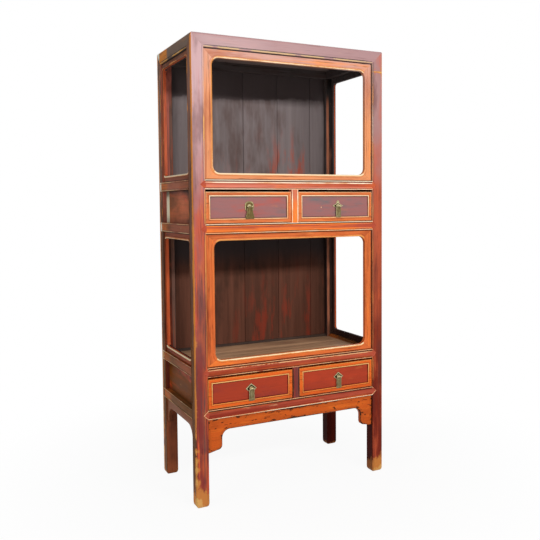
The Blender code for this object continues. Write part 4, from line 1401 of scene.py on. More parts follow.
@dataclass
class Fret(Piece):
    """The frame of a bay's mouth, with a round-cornered opening and a raised bead.

    Its four members are the left stile, the sill, the right stile and the head, in this order.
    """

    NODE = "fret_{side}_{bay}"
    SLOT = "orange_lacquer"
    BAYS = {"lower": ("lower_shelf", "upper_drawer"), "upper": ("upper_shelf", None)}
    # How bright the bead's worn colour is on each member: partly wear, and partly a painted highlight where
    # the bead catches the light
    GLINTS = {
        "upper": (0.75, 1.35, 0.2, 1.0),
        "lower": (0.2, 1.0, 0.1, 0.6),
        "flank_upper": (0.75, 1.2, 0.2, 0.35),
        "flank_lower": (0.75, 1.2, 0.2, 0.9),
    }
    # How dark the dirt and painted shade in the gap round each member are, and how dark the painted shade on
    # the edge of the front opening is
    GAPS = (0.45, 0.7, 1.0, 1.0)
    REVEALS = (0.55, 0.3, 0.15, 0.55)
    # The bead's rings: their angle on it and their wear
    BEAD_RINGS = ((165, 0.0), (130, 0.15), (90, 0.75), (50, 1.05), (15, 0.8))
    MITRE = 45
    RIGHT_STILE = 2

    side: Side
    bay: str
    inset: float = 0.006
    thickness: float = 0.014
    front_stile: float = 0.034
    side_stile: float = 0.013
    sill: float = 0.025
    front_heads: Pair = (0.027, 0.034)
    side_heads: Pair = (0.027, 0.022)
    front_corner_r: float = 0.028
    side_corner_r: float = 0.015
    bead_w: float = 0.0105
    bead_rise: float = 0.0024
    gap_w: float = 0.0042
    crack: float = 0.0011
    crack_share: float = 0.1
    crack_grime: float = 0.5
    angles: tuple[float, ...] = (0.0, 11.0, 22.0, 33.0, 42.5, 45.0, 47.5, 57.0, 68.0, 79.0, 90.0)
    fit: float = 0.0003

    def mouth(self) -> tuple[Pair, Pair]:
        """Returns the lowest and highest corner of the space between the posts and rails."""
        below, above = self.BAYS[self.bay]
        top = Rail.LEVELS[above][0] if above else CABINET.height - CABINET.top_rail_h
        clear = self.side.clear - self.fit
        return (-clear, Rail.LEVELS[below][1] + self.fit), (clear, top - self.fit)

    def centres(self) -> Outline:
        """Returns the centres of the opening's round corners, anticlockwise from the lowest."""
        low, high = self.mouth()
        stile, heads, radius = self.side_stile, self.side_heads, self.side_corner_r
        if self.side.broad:
            stile, heads, radius = self.front_stile, self.front_heads, self.front_corner_r
        head = heads[1] if self.bay == "upper" else heads[0]
        opening = (low[0] + stile, low[1] + self.sill), (high[0] - stile, high[1] - head)
        return inset_outline(rectangle(*opening), radius)

    def outer_ring(self, inset: float) -> Outline:
        """Lays points on the frame's outer edge, one for each on the opening's.

        Args:
            inset: How far inside the edge they lie.

        Returns:
            The points, anticlockwise from the left of the lower left corner.
        """
        points = []
        for index, (corner, centre) in enumerate(zip(rectangle(*self.mouth()), self.centres())):
            reach_x, reach_z = centre[0] - corner[0], centre[1] - corner[1]
            for angle in self.angles:
                upright = (angle < self.MITRE) == (index % 2 == 0)
                share = abs(angle - self.MITRE) / self.MITRE
                gap = abs(reach_z if upright else reach_x) * share
                gap = self.crack if 0 < share < self.crack_share else gap
                gap = max(gap, inset + self.crack) if share else inset
                x, z = (inset, gap) if upright else (gap, inset)
                points.append((corner[0] + math.copysign(x, reach_x), corner[1] + math.copysign(z, reach_z)))
        return points

    def inner_ring(self, outset: float) -> Outline:
        """Lays points round the opening.

        Args:
            outset: How far outside its edge they lie.

        Returns:
            The points, anticlockwise from the left of the lower left corner.
        """
        reach = outset + (self.front_corner_r if self.side.broad else self.side_corner_r)
        points = []
        for index, centre in enumerate(self.centres()):
            for angle in self.angles:
                turned = math.radians(180 + 90 * index + angle)
                points.append((centre[0] + reach * math.cos(turned), centre[1] + reach * math.sin(turned)))
        return points

    def members(self) -> list[int]:
        """Returns the member under each point of a ring."""
        spots = [(index, angle) for index in range(4) for angle in self.angles]
        return [index if angle < self.MITRE else (index + 1) % 4 for index, angle in spots]

    def rings(self) -> list[tuple[Outline, float, float, Level]]:
        """Returns the profile's rings from the back: the points, their depth, their wear and their grime,
        which holds painted shade in the gap and on the reveals.
        """
        face, back = self.inset, self.inset + self.thickness
        cracks = [self.crack_grime if angle == self.MITRE else 0.0 for angle in self.angles] * 4
        # Painted shade: the gap round each member, with its dirt, and the reveals of a front fret
        gap_dirt_and_shade = [self.GAPS[member] for member in self.members()]
        reveal_shades = [self.REVEALS[member] if self.side.broad else 0.0 for member in self.members()]
        half = self.bead_w / 2
        rings = [
            (self.outer_ring(0), back, 0.0, 0.0), (self.outer_ring(0), face + 0.001, 0.0, gap_dirt_and_shade),
            (self.outer_ring(0.0008), face, 0.0, gap_dirt_and_shade), (self.outer_ring(self.gap_w * 0.7), face, 0.0, gap_dirt_and_shade),
            (self.outer_ring(self.gap_w), face, 0.0, cracks),
            (self.inner_ring(self.bead_w + 0.0012), face, 0.0, cracks),
            (self.inner_ring(self.bead_w + 0.0003), face + 0.0006, 0.0, 0.45),
        ]
        for angle, wear in self.BEAD_RINGS:
            turned = math.radians(angle)
            line = self.inner_ring(half - half * math.cos(turned))
            rings.append((line, face - self.bead_rise * math.sin(turned), wear, 0.0))
        edge = self.inner_ring(0)
        return rings + [
            (edge, face + 0.0015, 0.2, [grime / 2 for grime in reveal_shades]),
            (edge, face + 0.0075, 0.0, reveal_shades),
            (edge, back, 0.0, reveal_shades),
        ]

    def build(self) -> bpy.types.Object:
        """Builds the frame and returns it."""
        carving = Carving()
        members = self.members()
        glints = self.GLINTS[self.bay if self.side.broad else f"flank_{self.bay}"]
        loops = []
        for line, depth, wear, grime in self.rings():
            wears = [wear * glints[member] for member in members]
            loops.append(carving.ring([self.side.point(x, depth, z) for x, z in line], wears, grime))
        grains = [FretFace.LEVEL if member % 2 else FretFace.UPRIGHT for member in members]
        # On the flanks, the reveals that do not take the reveal colour take the dark inside finish, which
        # paints their shade
        shallow, deep = [], []
        for member in members:
            hidden = self.side is Side.RIGHT and member % 2
            shown = self.side.broad or (self.side is Side.LEFT and member == self.RIGHT_STILE)
            shallow.append(FretFace.INSIDE if hidden else FretFace.REVEAL)
            deep.append(FretFace.REVEAL if shown else FretFace.INSIDE)
        bands = [grains] * (len(loops) - 3) + [shallow, deep, FretFace.INSIDE]
        for first, second, band in zip(loops, loops[1:] + loops[:1], bands):
            carving.skin(first, second, band)
        # The flank frets take the darker copy, painted shade
        finish = Paintbox.FLANK_FRET
        if self.side.broad:
            finish = Paintbox.FRET_UPPER if self.bay == "upper" else Paintbox.FRET_LOWER
        materials = [
            self.paintbox.get(finish),
            self.paintbox.get(finish, self.side.grain),
            self.paintbox.get(finish if self.side.broad else Paintbox.REVEAL),
            self.paintbox.get(Paintbox.INSIDE),
        ]
        return carving.finished(f"dressed_{self.node}", materials)


@dataclass(frozen=True)
class ApronShape:
    """The sizes of an apron's outline: its height, and its spandrels with their slant and round corners."""

    height: float
    spandrel_w: float
    drop: float
    rise: float
    corner_r: float
    foot_r: float


@dataclass
class Apron(Piece):
    """The board under a lowest rail, with spandrels at its ends and a worn lower edge."""

    NODE = "apron_{side}"
    SLOT = "orange_lacquer"
    FRONT = ApronShape(height=0.048, spandrel_w=0.058, drop=0.133, rise=0.009, corner_r=0.032, foot_r=0.018)
    FLANK = ApronShape(height=0.036, spandrel_w=0.016, drop=0.105, rise=0.003, corner_r=0.050, foot_r=0.008)

    side: Side
    inset: float = 0.006
    thickness: float = 0.016
    arc_steps: int = 9
    fit: float = 0.0003

    def outline(self) -> Outline:
        """Returns the apron's outline, anticlockwise."""
        shape = self.FRONT if self.side.broad else self.FLANK
        rail = Rail.LEVELS["lower_drawer"][0]
        half = self.side.clear - self.fit
        foot, inner = rail - shape.drop, -half + shape.spandrel_w
        left = [(-half, foot)]
        centre = (inner - shape.foot_r, foot + shape.rise + shape.foot_r)
        left += arc(centre, shape.foot_r, -90, 0, self.arc_steps)
        centre = (inner + shape.corner_r, rail - shape.height - shape.corner_r)
        left += arc(centre, shape.corner_r, 180, 90, self.arc_steps)
        right = [(-x, z) for x, z in reversed(left)]
        return left + right + [(half, rail - self.fit), (-half, rail - self.fit)]

    def build(self) -> bpy.types.Object:
        """Builds the apron and returns it."""
        face, back = self.inset, self.inset + self.thickness
        steps = [
            Step(0, back), Step(0, face + 0.0060, wear=0.1), Step(0, face + 0.0016, wear=0.5),
            Step(0.0010, face + 0.0003, wear=0.7), Step(0.0030, face, wear=0.55),
        ]
        finish = Paintbox.FLANK_APRON
        if self.side is Side.FRONT:
            steps += [Step(0.0085, face, wear=0.40), Step(0.0140, face)]
            finish = Paintbox.APRON
        carving = Carving()
        carving.moulded(self.side, self.outline(), steps)
        return self.finished(carving, finish, grain=self.side.grain)


# Boards and panels


@dataclass
class PlankRow:
    """Rows of planks laid edge to edge by one node tree: the backs and the shelves."""

    gap: float = 0.0016
    edge: float = 0.0012
    edge_steps: int = 3
    jitter: float = 0.0005
    tree: bpy.types.NodeTree = field(init=False)
    keys: dict[str, str] = field(init=False, default_factory=dict)

    def __post_init__(self) -> None:
        """Builds the node tree that all the rows share."""
        self.tree = bpy.data.node_groups.new("plank_row", "GeometryNodeTree")
        sockets = {
            "Boards": ("Int", 5), "Pitch": ("Float", 0.17), "Last Share": ("Float", 1.0),
            "Length": ("Float", 0.5), "Thickness": ("Float", 0.01), "Gap": ("Float", self.gap),
            "Edge": ("Float", self.edge), "Jitter": ("Float", self.jitter), "Seed": ("Int", 3),
            "Finish": ("Material", None),
        }
        for name, (kind, value) in sockets.items():
            socket = self.tree.interface.new_socket(name, in_out="INPUT", socket_type=f"NodeSocket{kind}")
            if value is not None:
                socket.default_value = value
            self.keys[name] = socket.identifier
        self.tree.interface.new_socket("Geometry", in_out="OUTPUT", socket_type="NodeSocketGeometry")
        self.wire()

    def wire(self) -> None:
        """Lays out the tree: a plank with eased edges, set out in a row, each with a tone of its own."""
        kit = NodeKit(self.tree)
        given = kit.node("NodeGroupInput", {}).outputs
        width = kit.math("SUBTRACT", given["Pitch"], given["Gap"])
        sizes = {"Width": width, "Height": given["Thickness"]}
        quad = kit.first("GeometryNodeCurvePrimitiveQuadrilateral", sizes)
        eased = {"Curve": quad, "Count": self.edge_steps, "Radius": given["Edge"]}
        profile = kit.first("GeometryNodeFilletCurve", eased, mode="POLY")
        path = kit.first("GeometryNodeCurvePrimitiveLine", {"End": kit.vector(Z=given["Length"])})
        swept = {"Curve": path, "Profile Curve": profile, "Fill Caps": True}
        plank = kit.first("GeometryNodeCurveToMesh", swept)

        index = kit.first("GeometryNodeInputIndex", {})
        last = kit.math("SUBTRACT", given["Boards"], 1.0)
        is_last = kit.first("FunctionNodeCompare", {0: index, 1: last}, operation="GREATER_EQUAL")
        step = kit.vector(X=given["Pitch"])
        row = kit.first("GeometryNodeMeshLine", {"Count": given["Boards"], "Offset": step})
        short = kit.math("SUBTRACT", given["Last Share"], 1.0)
        shift = kit.math("MULTIPLY", kit.math("MULTIPLY", short, given["Pitch"]), 0.5)
        shift = kit.math("MULTIPLY", shift, is_last)
        least = kit.math("MULTIPLY", given["Jitter"], -1.0)
        draw = {2: least, 3: given["Jitter"], "Seed": given["Seed"]}
        depth = kit.node("FunctionNodeRandomValue", draw, data_type="FLOAT").outputs[1]
        moved = {"Geometry": row, "Offset": kit.vector(X=shift, Y=depth)}
        places = kit.first("GeometryNodeSetPosition", moved)
        narrow = kit.math("MULTIPLY_ADD", short, is_last, 1.0)
        laid = {"Points": places, "Instance": plank, "Scale": kit.vector(X=narrow, Y=1.0, Z=1.0)}
        planks = kit.first("GeometryNodeInstanceOnPoints", laid)
        shade = kit.node("FunctionNodeRandomValue", {"Seed": given["Seed"]}, data_type="FLOAT").outputs[1]
        toned = kit.first(
            "GeometryNodeStoreNamedAttribute",
            {"Geometry": planks, "Name": "tone", "Value": shade},
            data_type="FLOAT",
            domain="INSTANCE",
        )
        real = kit.first("GeometryNodeRealizeInstances", {"Geometry": toned})
        done = kit.first("GeometryNodeSetMaterial", {"Geometry": real, "Material": given["Finish"]})
        kit.node("NodeGroupOutput", {"Geometry": done})

    def lay(self, name: str, values: dict[str, object], matrix: Matrix) -> bpy.types.Object:
        """Lays one row of planks.

        Args:
            name: The name of the row's object.
            values: The tree's inputs, by name.
            matrix: Where the row goes, from its own frame.

        Returns:
            The row as a plain mesh object.
        """
        maker = link(bpy.data.objects.new(f"{name}_maker", bpy.data.meshes.new(f"{name}_seed")))
        modifier = maker.modifiers.new("planks", "NODES")
        modifier.node_group = self.tree
        for key, value in values.items():
            modifier[self.keys[key]] = value
        graph = bpy.context.evaluated_depsgraph_get()
        mesh = bpy.data.meshes.new_from_object(maker.evaluated_get(graph))
        bpy.data.objects.remove(maker)
        mesh.transform(matrix)
        mesh.name = name
        return link(bpy.data.objects.new(name, mesh))


@dataclass
class Bays:
    """The plank backs and shelves of the two bays."""

    # The seeds of each bay's back and shelf
    SEEDS = {"upper": (5, 13), "lower": (8, 17)}
    # Turns a row of upright planks into one that lies along X
    LYING = Matrix(((0, 0, 1, 0), (1, 0, 0, 0), (0, 1, 0, 0), (0, 0, 0, 1)))

    paintbox: Paintbox
    rows: PlankRow
    board_w: float = 0.170
    shelf_boards: int = 3
    seam: float = 0.0008
    seam_edge: float = 0.0038
    fit: float = 0.0006

    def dress_back(self, bay: str) -> None:
        """Lays a bay's upright back boards and puts them on their node."""
        node = f"back_panel_{bay}"
        low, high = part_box(node)
        width = high[0] - low[0] - 2 * self.fit
        count = math.ceil(width / self.board_w)
        finish = Paintbox.BACK_UPPER if bay == "upper" else Paintbox.BACK_LOWER
        values = {
            "Boards": count, "Pitch": self.board_w, "Last Share": width / self.board_w - count + 1,
            "Length": high[2] - low[2] - 2 * self.fit, "Thickness": high[1] - low[1] - 2 * self.fit,
            "Gap": self.seam, "Edge": self.seam_edge, "Seed": self.SEEDS[bay][0],
            "Finish": self.paintbox.get(finish),
        }
        start = Vector((low[0] + self.fit + self.board_w / 2, (low[1] + high[1]) / 2, low[2] + self.fit))
        row = self.rows.lay(f"dressed_{node}", values, Matrix.Translation(start))
        install(row, node)

    def dress_shelf(self, bay: str) -> None:
        """Lays a bay's shelf boards from side to side and puts them on their node."""
        node = f"shelf_{bay}"
        low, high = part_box(node)
        pitch = (high[1] - low[1] - 2 * self.fit) / self.shelf_boards
        values = {
            "Boards": self.shelf_boards, "Pitch": pitch, "Length": high[0] - low[0] - 2 * self.fit,
            "Thickness": high[2] - low[2] - self.fit, "Gap": self.seam, "Jitter": 0.0,
            "Seed": self.SEEDS[bay][1], "Finish": self.paintbox.get(Paintbox.SHELF, Grain.X),
        }
        start = Vector((low[0] + self.fit, low[1] + self.fit + pitch / 2, (low[2] + high[2]) / 2))
        row = self.rows.lay(f"dressed_{node}", values, Matrix.Translation(start) @ self.LYING)
        install(row, node)

    def dress(self) -> None:
        """Dresses both bays."""
        for bay in Fret.BAYS:
            self.dress_back(bay)
            self.dress_shelf(bay)


@dataclass
class FlankPanel(Piece):
    """The panel that closes a flank behind the drawers, rubbed pale along its rear edge."""

    NODE = "side_panel_{side}_{row}"
    SLOT = "side_lacquer"
    # How pale the rear edge is
    PALE = {"upper": 1.0, "lower": 0.15}

    side: Side
    row: str
    arris: float = 0.0012
    pale_from: float = 0.124
    pale_at: float = 0.132

    def build(self) -> bpy.types.Object:
        """Builds the panel and returns it."""
        low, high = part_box(self.node)
        inner, outer = sorted((abs(low[0]), abs(high[0])))
        front, back = CABINET.half_w - outer, CABINET.half_w - inner
        ease = self.arris
        marks = [
            Mark(low[2] + ease, front, grime=0.6), Mark((low[2] + high[2]) / 2, front),
            Mark(high[2] - ease, front, grime=0.9), Mark(high[2], front + ease), Mark(high[2], back - ease),
            Mark(high[2] - ease, back), Mark(low[2] + ease, back), Mark(low[2], back - ease),
            Mark(low[2], front + ease),
        ]
        reach, pale = self.side.clear, self.PALE[self.row]
        stations = [
            Station(low[1]), Station(-reach, grime=0.5), Station(-reach / 2), Station(0.0),
            Station(self.pale_from), Station(self.pale_at, wear=1.05 * pale),
            Station(reach, wear=1.25 * pale), Station(high[1]),
        ]
        carving = Carving()
        carving.swept(self.side, stations, marks)
        return self.finished(carving, Paintbox.FLANK_PANEL, grain=Grain.Y)


@dataclass
class PlainBoards:
    """The flat boards whose CAD shape is right, which only need their finish."""

    paintbox: Paintbox
    nodes: dict[str, bpy.types.Object]

    def dress(self) -> None:
        """Coats the roof, the dust boards and the rear boards."""
        boards = {"top_panel": Paintbox.ROOF}
        for row in ROWS:
            boards[f"rear_board_{row}"] = boards[f"dust_board_{row}"] = Paintbox.DARK
        for node, finish in boards.items():
            material = self.paintbox.get(finish, Grain.X)
            for slot in self.nodes[node].material_slots:
                slot.link = "OBJECT"
                slot.material = material
            LOG.info("%s keeps its shape, in %s", node, material.name)


# Drawers


@dataclass(frozen=True)
class PullShape:
    """A pull's plate and drop.

    The plate has its reach to the sides and up, and a power that makes it winged, a lozenge or a shield.
    Its rim and hollow have shares of the usual wear and grime, and the drop's tab flares to its foot.
    """

    half_w: float
    half_h: float
    power: float
    finial_r: float = 0.0
    rim: float = 1.0
    hollow: float = 1.0
    tab_top_w: float = 0.0225
    tab_foot_w: float = 0.0260
    tab_flare: float = 0.010
    points: int = 48

    def outline(self, size: float) -> Outline:
        """Returns the plate's outline about the pull's pin, anticlockwise, at a share of its size."""
        found = []
        for level_x, level_z in circle(self.points):
            x, z = (math.copysign(abs(level) ** (2 / self.power), level) for level in (level_x, level_z))
            found.append((size * self.half_w * x, size * self.half_h * z))
        return found


@dataclass
class Drawer:
    """A drawer: its moulded front, its box, its pull's plate and the drop that swings on it."""

    PULLS = {
        "drawer_upper_left": PullShape(
            0.0192, 0.0205, 2.8, rim=0.45, hollow=0.3, tab_top_w=0.0235, tab_foot_w=0.0390, tab_flare=0.030,
        ),
        "drawer_upper_right": PullShape(0.0270, 0.0205, 0.72, finial_r=0.0060),
        "drawer_lower_left": PullShape(0.0228, 0.0195, 1.1),
        "drawer_lower_right": PullShape(0.0232, 0.0190, 1.0),
    }
    # A chip in a field: how far from the pin it lies, across and up, and its radius
    CHIPS = {"drawer_upper_right": (-0.078, -0.006, 0.0024)}
    # The form of each round stud
    BOSS, CHIP = (0.0012, 0.0004, 28, 0.6), (0.0006, 0.0003, 10, 0.7)
    FINIAL, FINIAL_EYE = (0.0014, 0.0005, 20, 0.7), (0.0008, 0.0009, 12, 0.0)
    # How worn the profile is at the front's lower and upper corners; the upper corners' extra wear is partly
    # a painted highlight along the top edge
    LOW_CORNER, HIGH_CORNER = Corner(wear=0.8), Corner(wear=1.4)

    paintbox: Paintbox
    row: str
    side: Side
    inset: float = 0.003
    border: float = 0.017
    bead_back: float = 0.0012
    field_depth: float = 0.004
    board_t: float = 0.010
    board_face: float = 0.004
    back_drop: float = 0.004
    bottom_t: float = 0.008
    bottom_inset: float = 0.012
    bottom_lift: float = 0.0005
    arris: float = 0.0010
    plate_t: float = 0.002
    plate_dish: float = 0.0008
    boss_r: float = 0.0078
    finial_drop: float = 0.8
    finial_eye: float = 0.4
    pivot_out: float = 0.005
    pin_r: float = 0.0015
    pin_end: float = 0.0004
    lug_w: float = 0.003
    lug_half: float = 0.0028
    lug_corner: float = 0.0010
    lug_steps: int = 3
    lug_gap: float = 0.0004
    barrel_r: float = 0.0032
    barrel_l: float = 0.014
    barrel_sides: int = 24
    barrel_ease: Pair = (0.0006, 0.0005)
    tab_lap: float = 0.75
    tab_t: float = 0.0025
    rib_x: float = 0.0055
    rib_r: float = 0.0016
    rib_ends: Pair = (0.010, 0.004)
    tab_drop: float = 0.048
    tab_shoulder: float = 0.0046
    tab_ease: float = 0.001
    tab_corner: float = 0.003
    fit: float = 0.0003

    @property
    def name(self) -> str:
        """The drawer's body."""
        return f"drawer_{self.row}_{self.side.value}"

    @property
    def shape(self) -> PullShape:
        """The shape of this drawer's pull."""
        return self.PULLS[self.name]

    @property
    def plate_y(self) -> Pair:
        """The front and back of the pull's plate."""
        front = -CABINET.half_d + self.inset + self.field_depth
        return front - self.fit - self.plate_t, front - self.fit

    @property
    def pivot(self) -> Vector:
        """The middle of the pull's pin."""
        low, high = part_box(f"{self.name}_pull_plate")
        return Vector(((low[0] + high[0]) / 2, self.plate_y[0] - self.pivot_out, (low[2] + high[2]) / 2))

    def carve_front(self) -> Carving:
        """Carves the drawer's front: a flat border, a bead and a sunk field."""
        low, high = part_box(f"{self.name}_front")
        face = self.inset
        sunk = face + self.field_depth
        bead = self.border - self.bead_back
        border_steps = [
            Step(0, high[1] + CABINET.half_d), Step(0, face + 0.0030, grime=0.7),
            Step(0, face + 0.0008, wear=0.3, grime=0.3), Step(0.0008, face, wear=0.6),
            Step(0.0030, face, wear=0.1), Step(bead - 0.0058, face), Step(bead - 0.0046, face, grime=0.5),
            Step(bead - 0.0030, face + 0.0003, grime=0.6), Step(bead - 0.0024, face - 0.0001, wear=0.2),
            Step(bead - 0.0012, face - 0.0009, wear=0.7), Step(bead, face - 0.0012, wear=0.9),
            Step(bead + 0.0012, face - 0.0008, wear=0.6),
        ]
        field_steps = [
            Step(bead + 0.0022, face + 0.0008, wear=0.2), Step(bead + 0.0026, sunk - 0.0004, grime=0.9),
            Step(bead + 0.0040, sunk, grime=0.6), Step(bead + 0.0080, sunk),
        ]
        carving = Carving()
        carving.moulded(
            Side.FRONT,
            rectangle((low[0], low[2]), (high[0], high[2])),
            border_steps + field_steps,
            [0] * len(border_steps) + [1] * len(field_steps),
            [self.LOW_CORNER] * 2 + [self.HIGH_CORNER] * 2,
        )
        if self.name in self.CHIPS:
            across, up, radius = self.CHIPS[self.name]
            spot = Vector((self.pivot.x + across, sunk - CABINET.half_d, self.pivot.z + up))
            carving.stud(spot, radius, self.CHIP)
        return carving

    def board_steps(self, depth: float) -> list[Step]:
        """Returns the profile of a thin board with eased, worn edges.

        Args:
            depth: Where its face lies.

        Returns:
            The rings from its back to its face.
        """
        back = depth + self.board_t
        return [
            Step(self.board_face, back), Step(self.arris, back, wear=0.5),
            Step(0, back - self.arris, wear=0.5), Step(0, depth + self.arris, wear=0.5),
            Step(self.arris, depth, wear=0.5), Step(self.board_face, depth),
        ]

    def carve_box(self) -> Carving:
        """Carves the drawer's box: two sides, a back and a bottom."""
        low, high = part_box(f"{self.name}_box")
        carving = Carving()
        flank = rectangle((low[1], low[2]), (high[1], high[2]))
        for x in (low[0], high[0] - self.board_t):
            carving.moulded(Side.LEFT, flank, self.board_steps(x + CABINET.half_w))
        left, right = low[0] + self.board_t - self.arris, high[0] - self.board_t + self.arris
        end = rectangle((left, low[2]), (right, high[2] - self.back_drop))
        carving.moulded(Side.FRONT, end, self.board_steps(high[1] - self.board_t + CABINET.half_d))
        floor = rectangle((left, low[1]), (right, high[1] - self.board_t + self.arris))
        top = low[2] + self.bottom_t
        rings = []
        for line, z, grime in (
            (floor, low[2] + self.bottom_lift, 0.3),
            (floor, top, 0.3),
            (inset_outline(floor, self.bottom_inset), top, 0.0),
        ):
            rings.append(carving.ring([Vector((x, y, z)) for x, y in line], 0.0, grime))
        carving.loft(rings)
        return carving

    def carve_plate(self) -> Carving:
        """Carves the plate with its raised rim, the boss, the finial, two lugs, the pin and the shank."""
        pivot, shape = self.pivot, self.shape
        face, back = (y + CABINET.half_d for y in self.plate_y)
        # Each ring's share of the plate's size, its depth, its wear and its grime
        profile = (
            (1.0, back, 0.0, 0.8), (1.0, face + 0.0006, 0.4 * shape.rim, 0.0),
            (0.97, face, 0.8 * shape.rim, 0.0), (0.80, face, 0.7 * shape.rim, 0.0),
            (0.75, face + self.plate_dish, 0.0, 1.0 * shape.hollow),
            (0.50, face + 0.0006, 0.0, 0.8 * shape.hollow),
        )
        carving = Carving()
        rings = []
        for size, depth, wear, grime in profile:
            places = [Side.FRONT.point(pivot.x + x, depth, pivot.z + z) for x, z in shape.outline(size)]
            rings.append(carving.ring(places, wear, grime))
        carving.loft(rings)
        boss = Vector((pivot.x, self.plate_y[0], pivot.z))
        carving.stud(boss, self.boss_r, self.BOSS)
        if shape.finial_r:
            top = boss + Vector((0, 0, shape.half_h - self.finial_drop * shape.finial_r))
            carving.stud(top, shape.finial_r, self.FINIAL)
            carving.stud(top, shape.finial_r * self.finial_eye, self.FINIAL_EYE)
        inner, half = self.barrel_l / 2 + self.lug_gap, self.lug_half
        front = pivot.y - half + CABINET.half_d
        lug = [
            Step(0, face + self.plate_dish), Step(0, front + 0.0008, wear=0.6),
            Step(0.0007, front, wear=1.0),
        ]
        for sign in (-1, 1):
            x = sorted((pivot.x + sign * inner, pivot.x + sign * (inner + self.lug_w)))
            corners = rectangle((x[0], pivot.z - half), (x[1], pivot.z + half))
            outline = []
            for index, centre in enumerate(inset_outline(corners, self.lug_corner)):
                outline += arc(centre, self.lug_corner, 180 + 90 * index, 270 + 90 * index, self.lug_steps)
            carving.moulded(Side.FRONT, outline, lug)
        reach = Vector((inner + self.lug_w + self.pin_end, 0, 0))
        carving.rod(pivot - reach, pivot + reach, self.pin_r, sides=14, wear=0.7)
        shank = Vector((pivot.x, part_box(f"{self.name}_pull_plate")[1][1], pivot.z))
        carving.rod(boss + Vector((0, self.plate_dish, 0)), shank, self.pin_r, sides=10, wear=0.2)
        return carving

    def carve_barrel(self, carving: Carving) -> None:
        """Carves the drop's bored barrel."""
        pivot, half, reach = self.pivot, self.barrel_l / 2, self.barrel_r
        bore = self.pin_r + self.fit
        inward, down = self.barrel_ease
        rim = self.shape.rim
        # Each ring's place along the pin, its radius and its wear
        profile = (
            (-half, reach - down, 0.4 * rim), (-half + inward, reach, 0.6 * rim),
            (half - inward, reach, 0.6 * rim), (half, reach - down, 0.4 * rim), (half, bore, 0.0),
            (-half, bore, 0.0),
        )
        loops = []
        for along, radius, wear in profile:
            places = [pivot + Vector((along, radius * y, radius * z)) for y, z in circle(self.barrel_sides)]
            loops.append(carving.ring(places, wear))
        for first, second in zip(loops, loops[1:] + loops[:1]):
            carving.skin(first, second)

    def carve_drop(self) -> Carving:
        """Carves the drop: a bored barrel and the ribbed tab that hangs from it."""
        pivot, shape = self.pivot, self.shape
        rim = shape.rim
        carving = Carving()
        self.carve_barrel(carving)
        foot, shoulder = pivot.z - self.tab_drop, pivot.z - self.tab_shoulder
        neck = self.barrel_l / 2 - self.lug_gap
        half = [
            (shape.tab_foot_w / 2 - self.tab_corner, foot),
            (shape.tab_foot_w / 2, foot + self.tab_corner),
            (shape.tab_top_w / 2, foot + shape.tab_flare),
            (shape.tab_top_w / 2, shoulder - self.tab_ease),
            (shape.tab_top_w / 2 - self.tab_ease, shoulder),
            (neck, shoulder),
            (neck, pivot.z - self.barrel_r * self.tab_lap),
        ]
        outline = [(pivot.x + x, z) for x, z in half] + [(pivot.x - x, z) for x, z in reversed(half)]
        middle = pivot.y + CABINET.half_d
        face, back = middle - self.tab_t / 2, middle + self.tab_t / 2
        steps = [
            Step(0.0006, back, wear=0.4 * rim), Step(0, back - 0.0006, wear=0.4 * rim),
            Step(0, face + 0.0006, wear=0.4 * rim), Step(0.0006, face, wear=0.6 * rim),
            Step(0.0014, face, wear=0.4 * rim), Step(0.0018, face + 0.0004, grime=0.5),
            Step(0.0030, face + 0.0003, wear=0.3 * rim, grime=0.1),
        ]
        carving.moulded(Side.FRONT, outline, steps)
        rib_low, rib_high = foot + self.rib_ends[0], shoulder - self.rib_ends[1]
        for x in (pivot.x - self.rib_x, pivot.x + self.rib_x):
            start, end = (Side.FRONT.point(x, face, z) for z in (rib_low, rib_high))
            carving.rod(start, end, self.rib_r, sides=12, wear=0.3 * rim)
        return carving

    def dress(self) -> None:
        """Builds the drawer's pieces and puts each on its node and body."""
        box = self.paintbox
        coats = (box.DRAWER_LOWER, box.FIELD_LOWER)
        if self.row == "upper":
            coats = (box.DRAWER_UPPER, box.FIELD_UPPER)
        parts = (
            ("front", "drawer_lacquer", self.carve_front(), coats, Grain.X, self.name),
            ("box", "drawer_wood", self.carve_box(), (box.INNER,), Grain.Y, self.name),
            ("pull_plate", "aged_brass", self.carve_plate(), (box.BRASS,), Grain.Z, self.name),
            ("pull_drop", "aged_brass", self.carve_drop(), (box.BRASS,), Grain.Z, f"{self.name}_pull"),
        )
        for part, slot, carving, finishes, grain, body in parts:
            node = f"{self.name}_{part}"
            piece = carving.finished(f"dressed_{node}", [box.get(finish, grain) for finish in finishes])
            install(piece, node, body)


# Studio


@dataclass
class Lamp:
    """A soft box of the studio."""

    name: str
    place: tuple[float, float, float]
    aim: tuple[float, float, float]
    size: Pair
    power: float

    def light(self) -> None:
        """Hangs the soft box."""
        data = bpy.data.lights.new(self.name, "AREA")
        data.shape = "RECTANGLE"
        data.size, data.size_y = self.size
        data.energy = self.power
        lamp = link(bpy.data.objects.new(self.name, data))
        lamp.location = self.place
        lamp.rotation_euler = (Vector(self.aim) - Vector(self.place)).to_track_quat("-Z", "Y").to_euler()


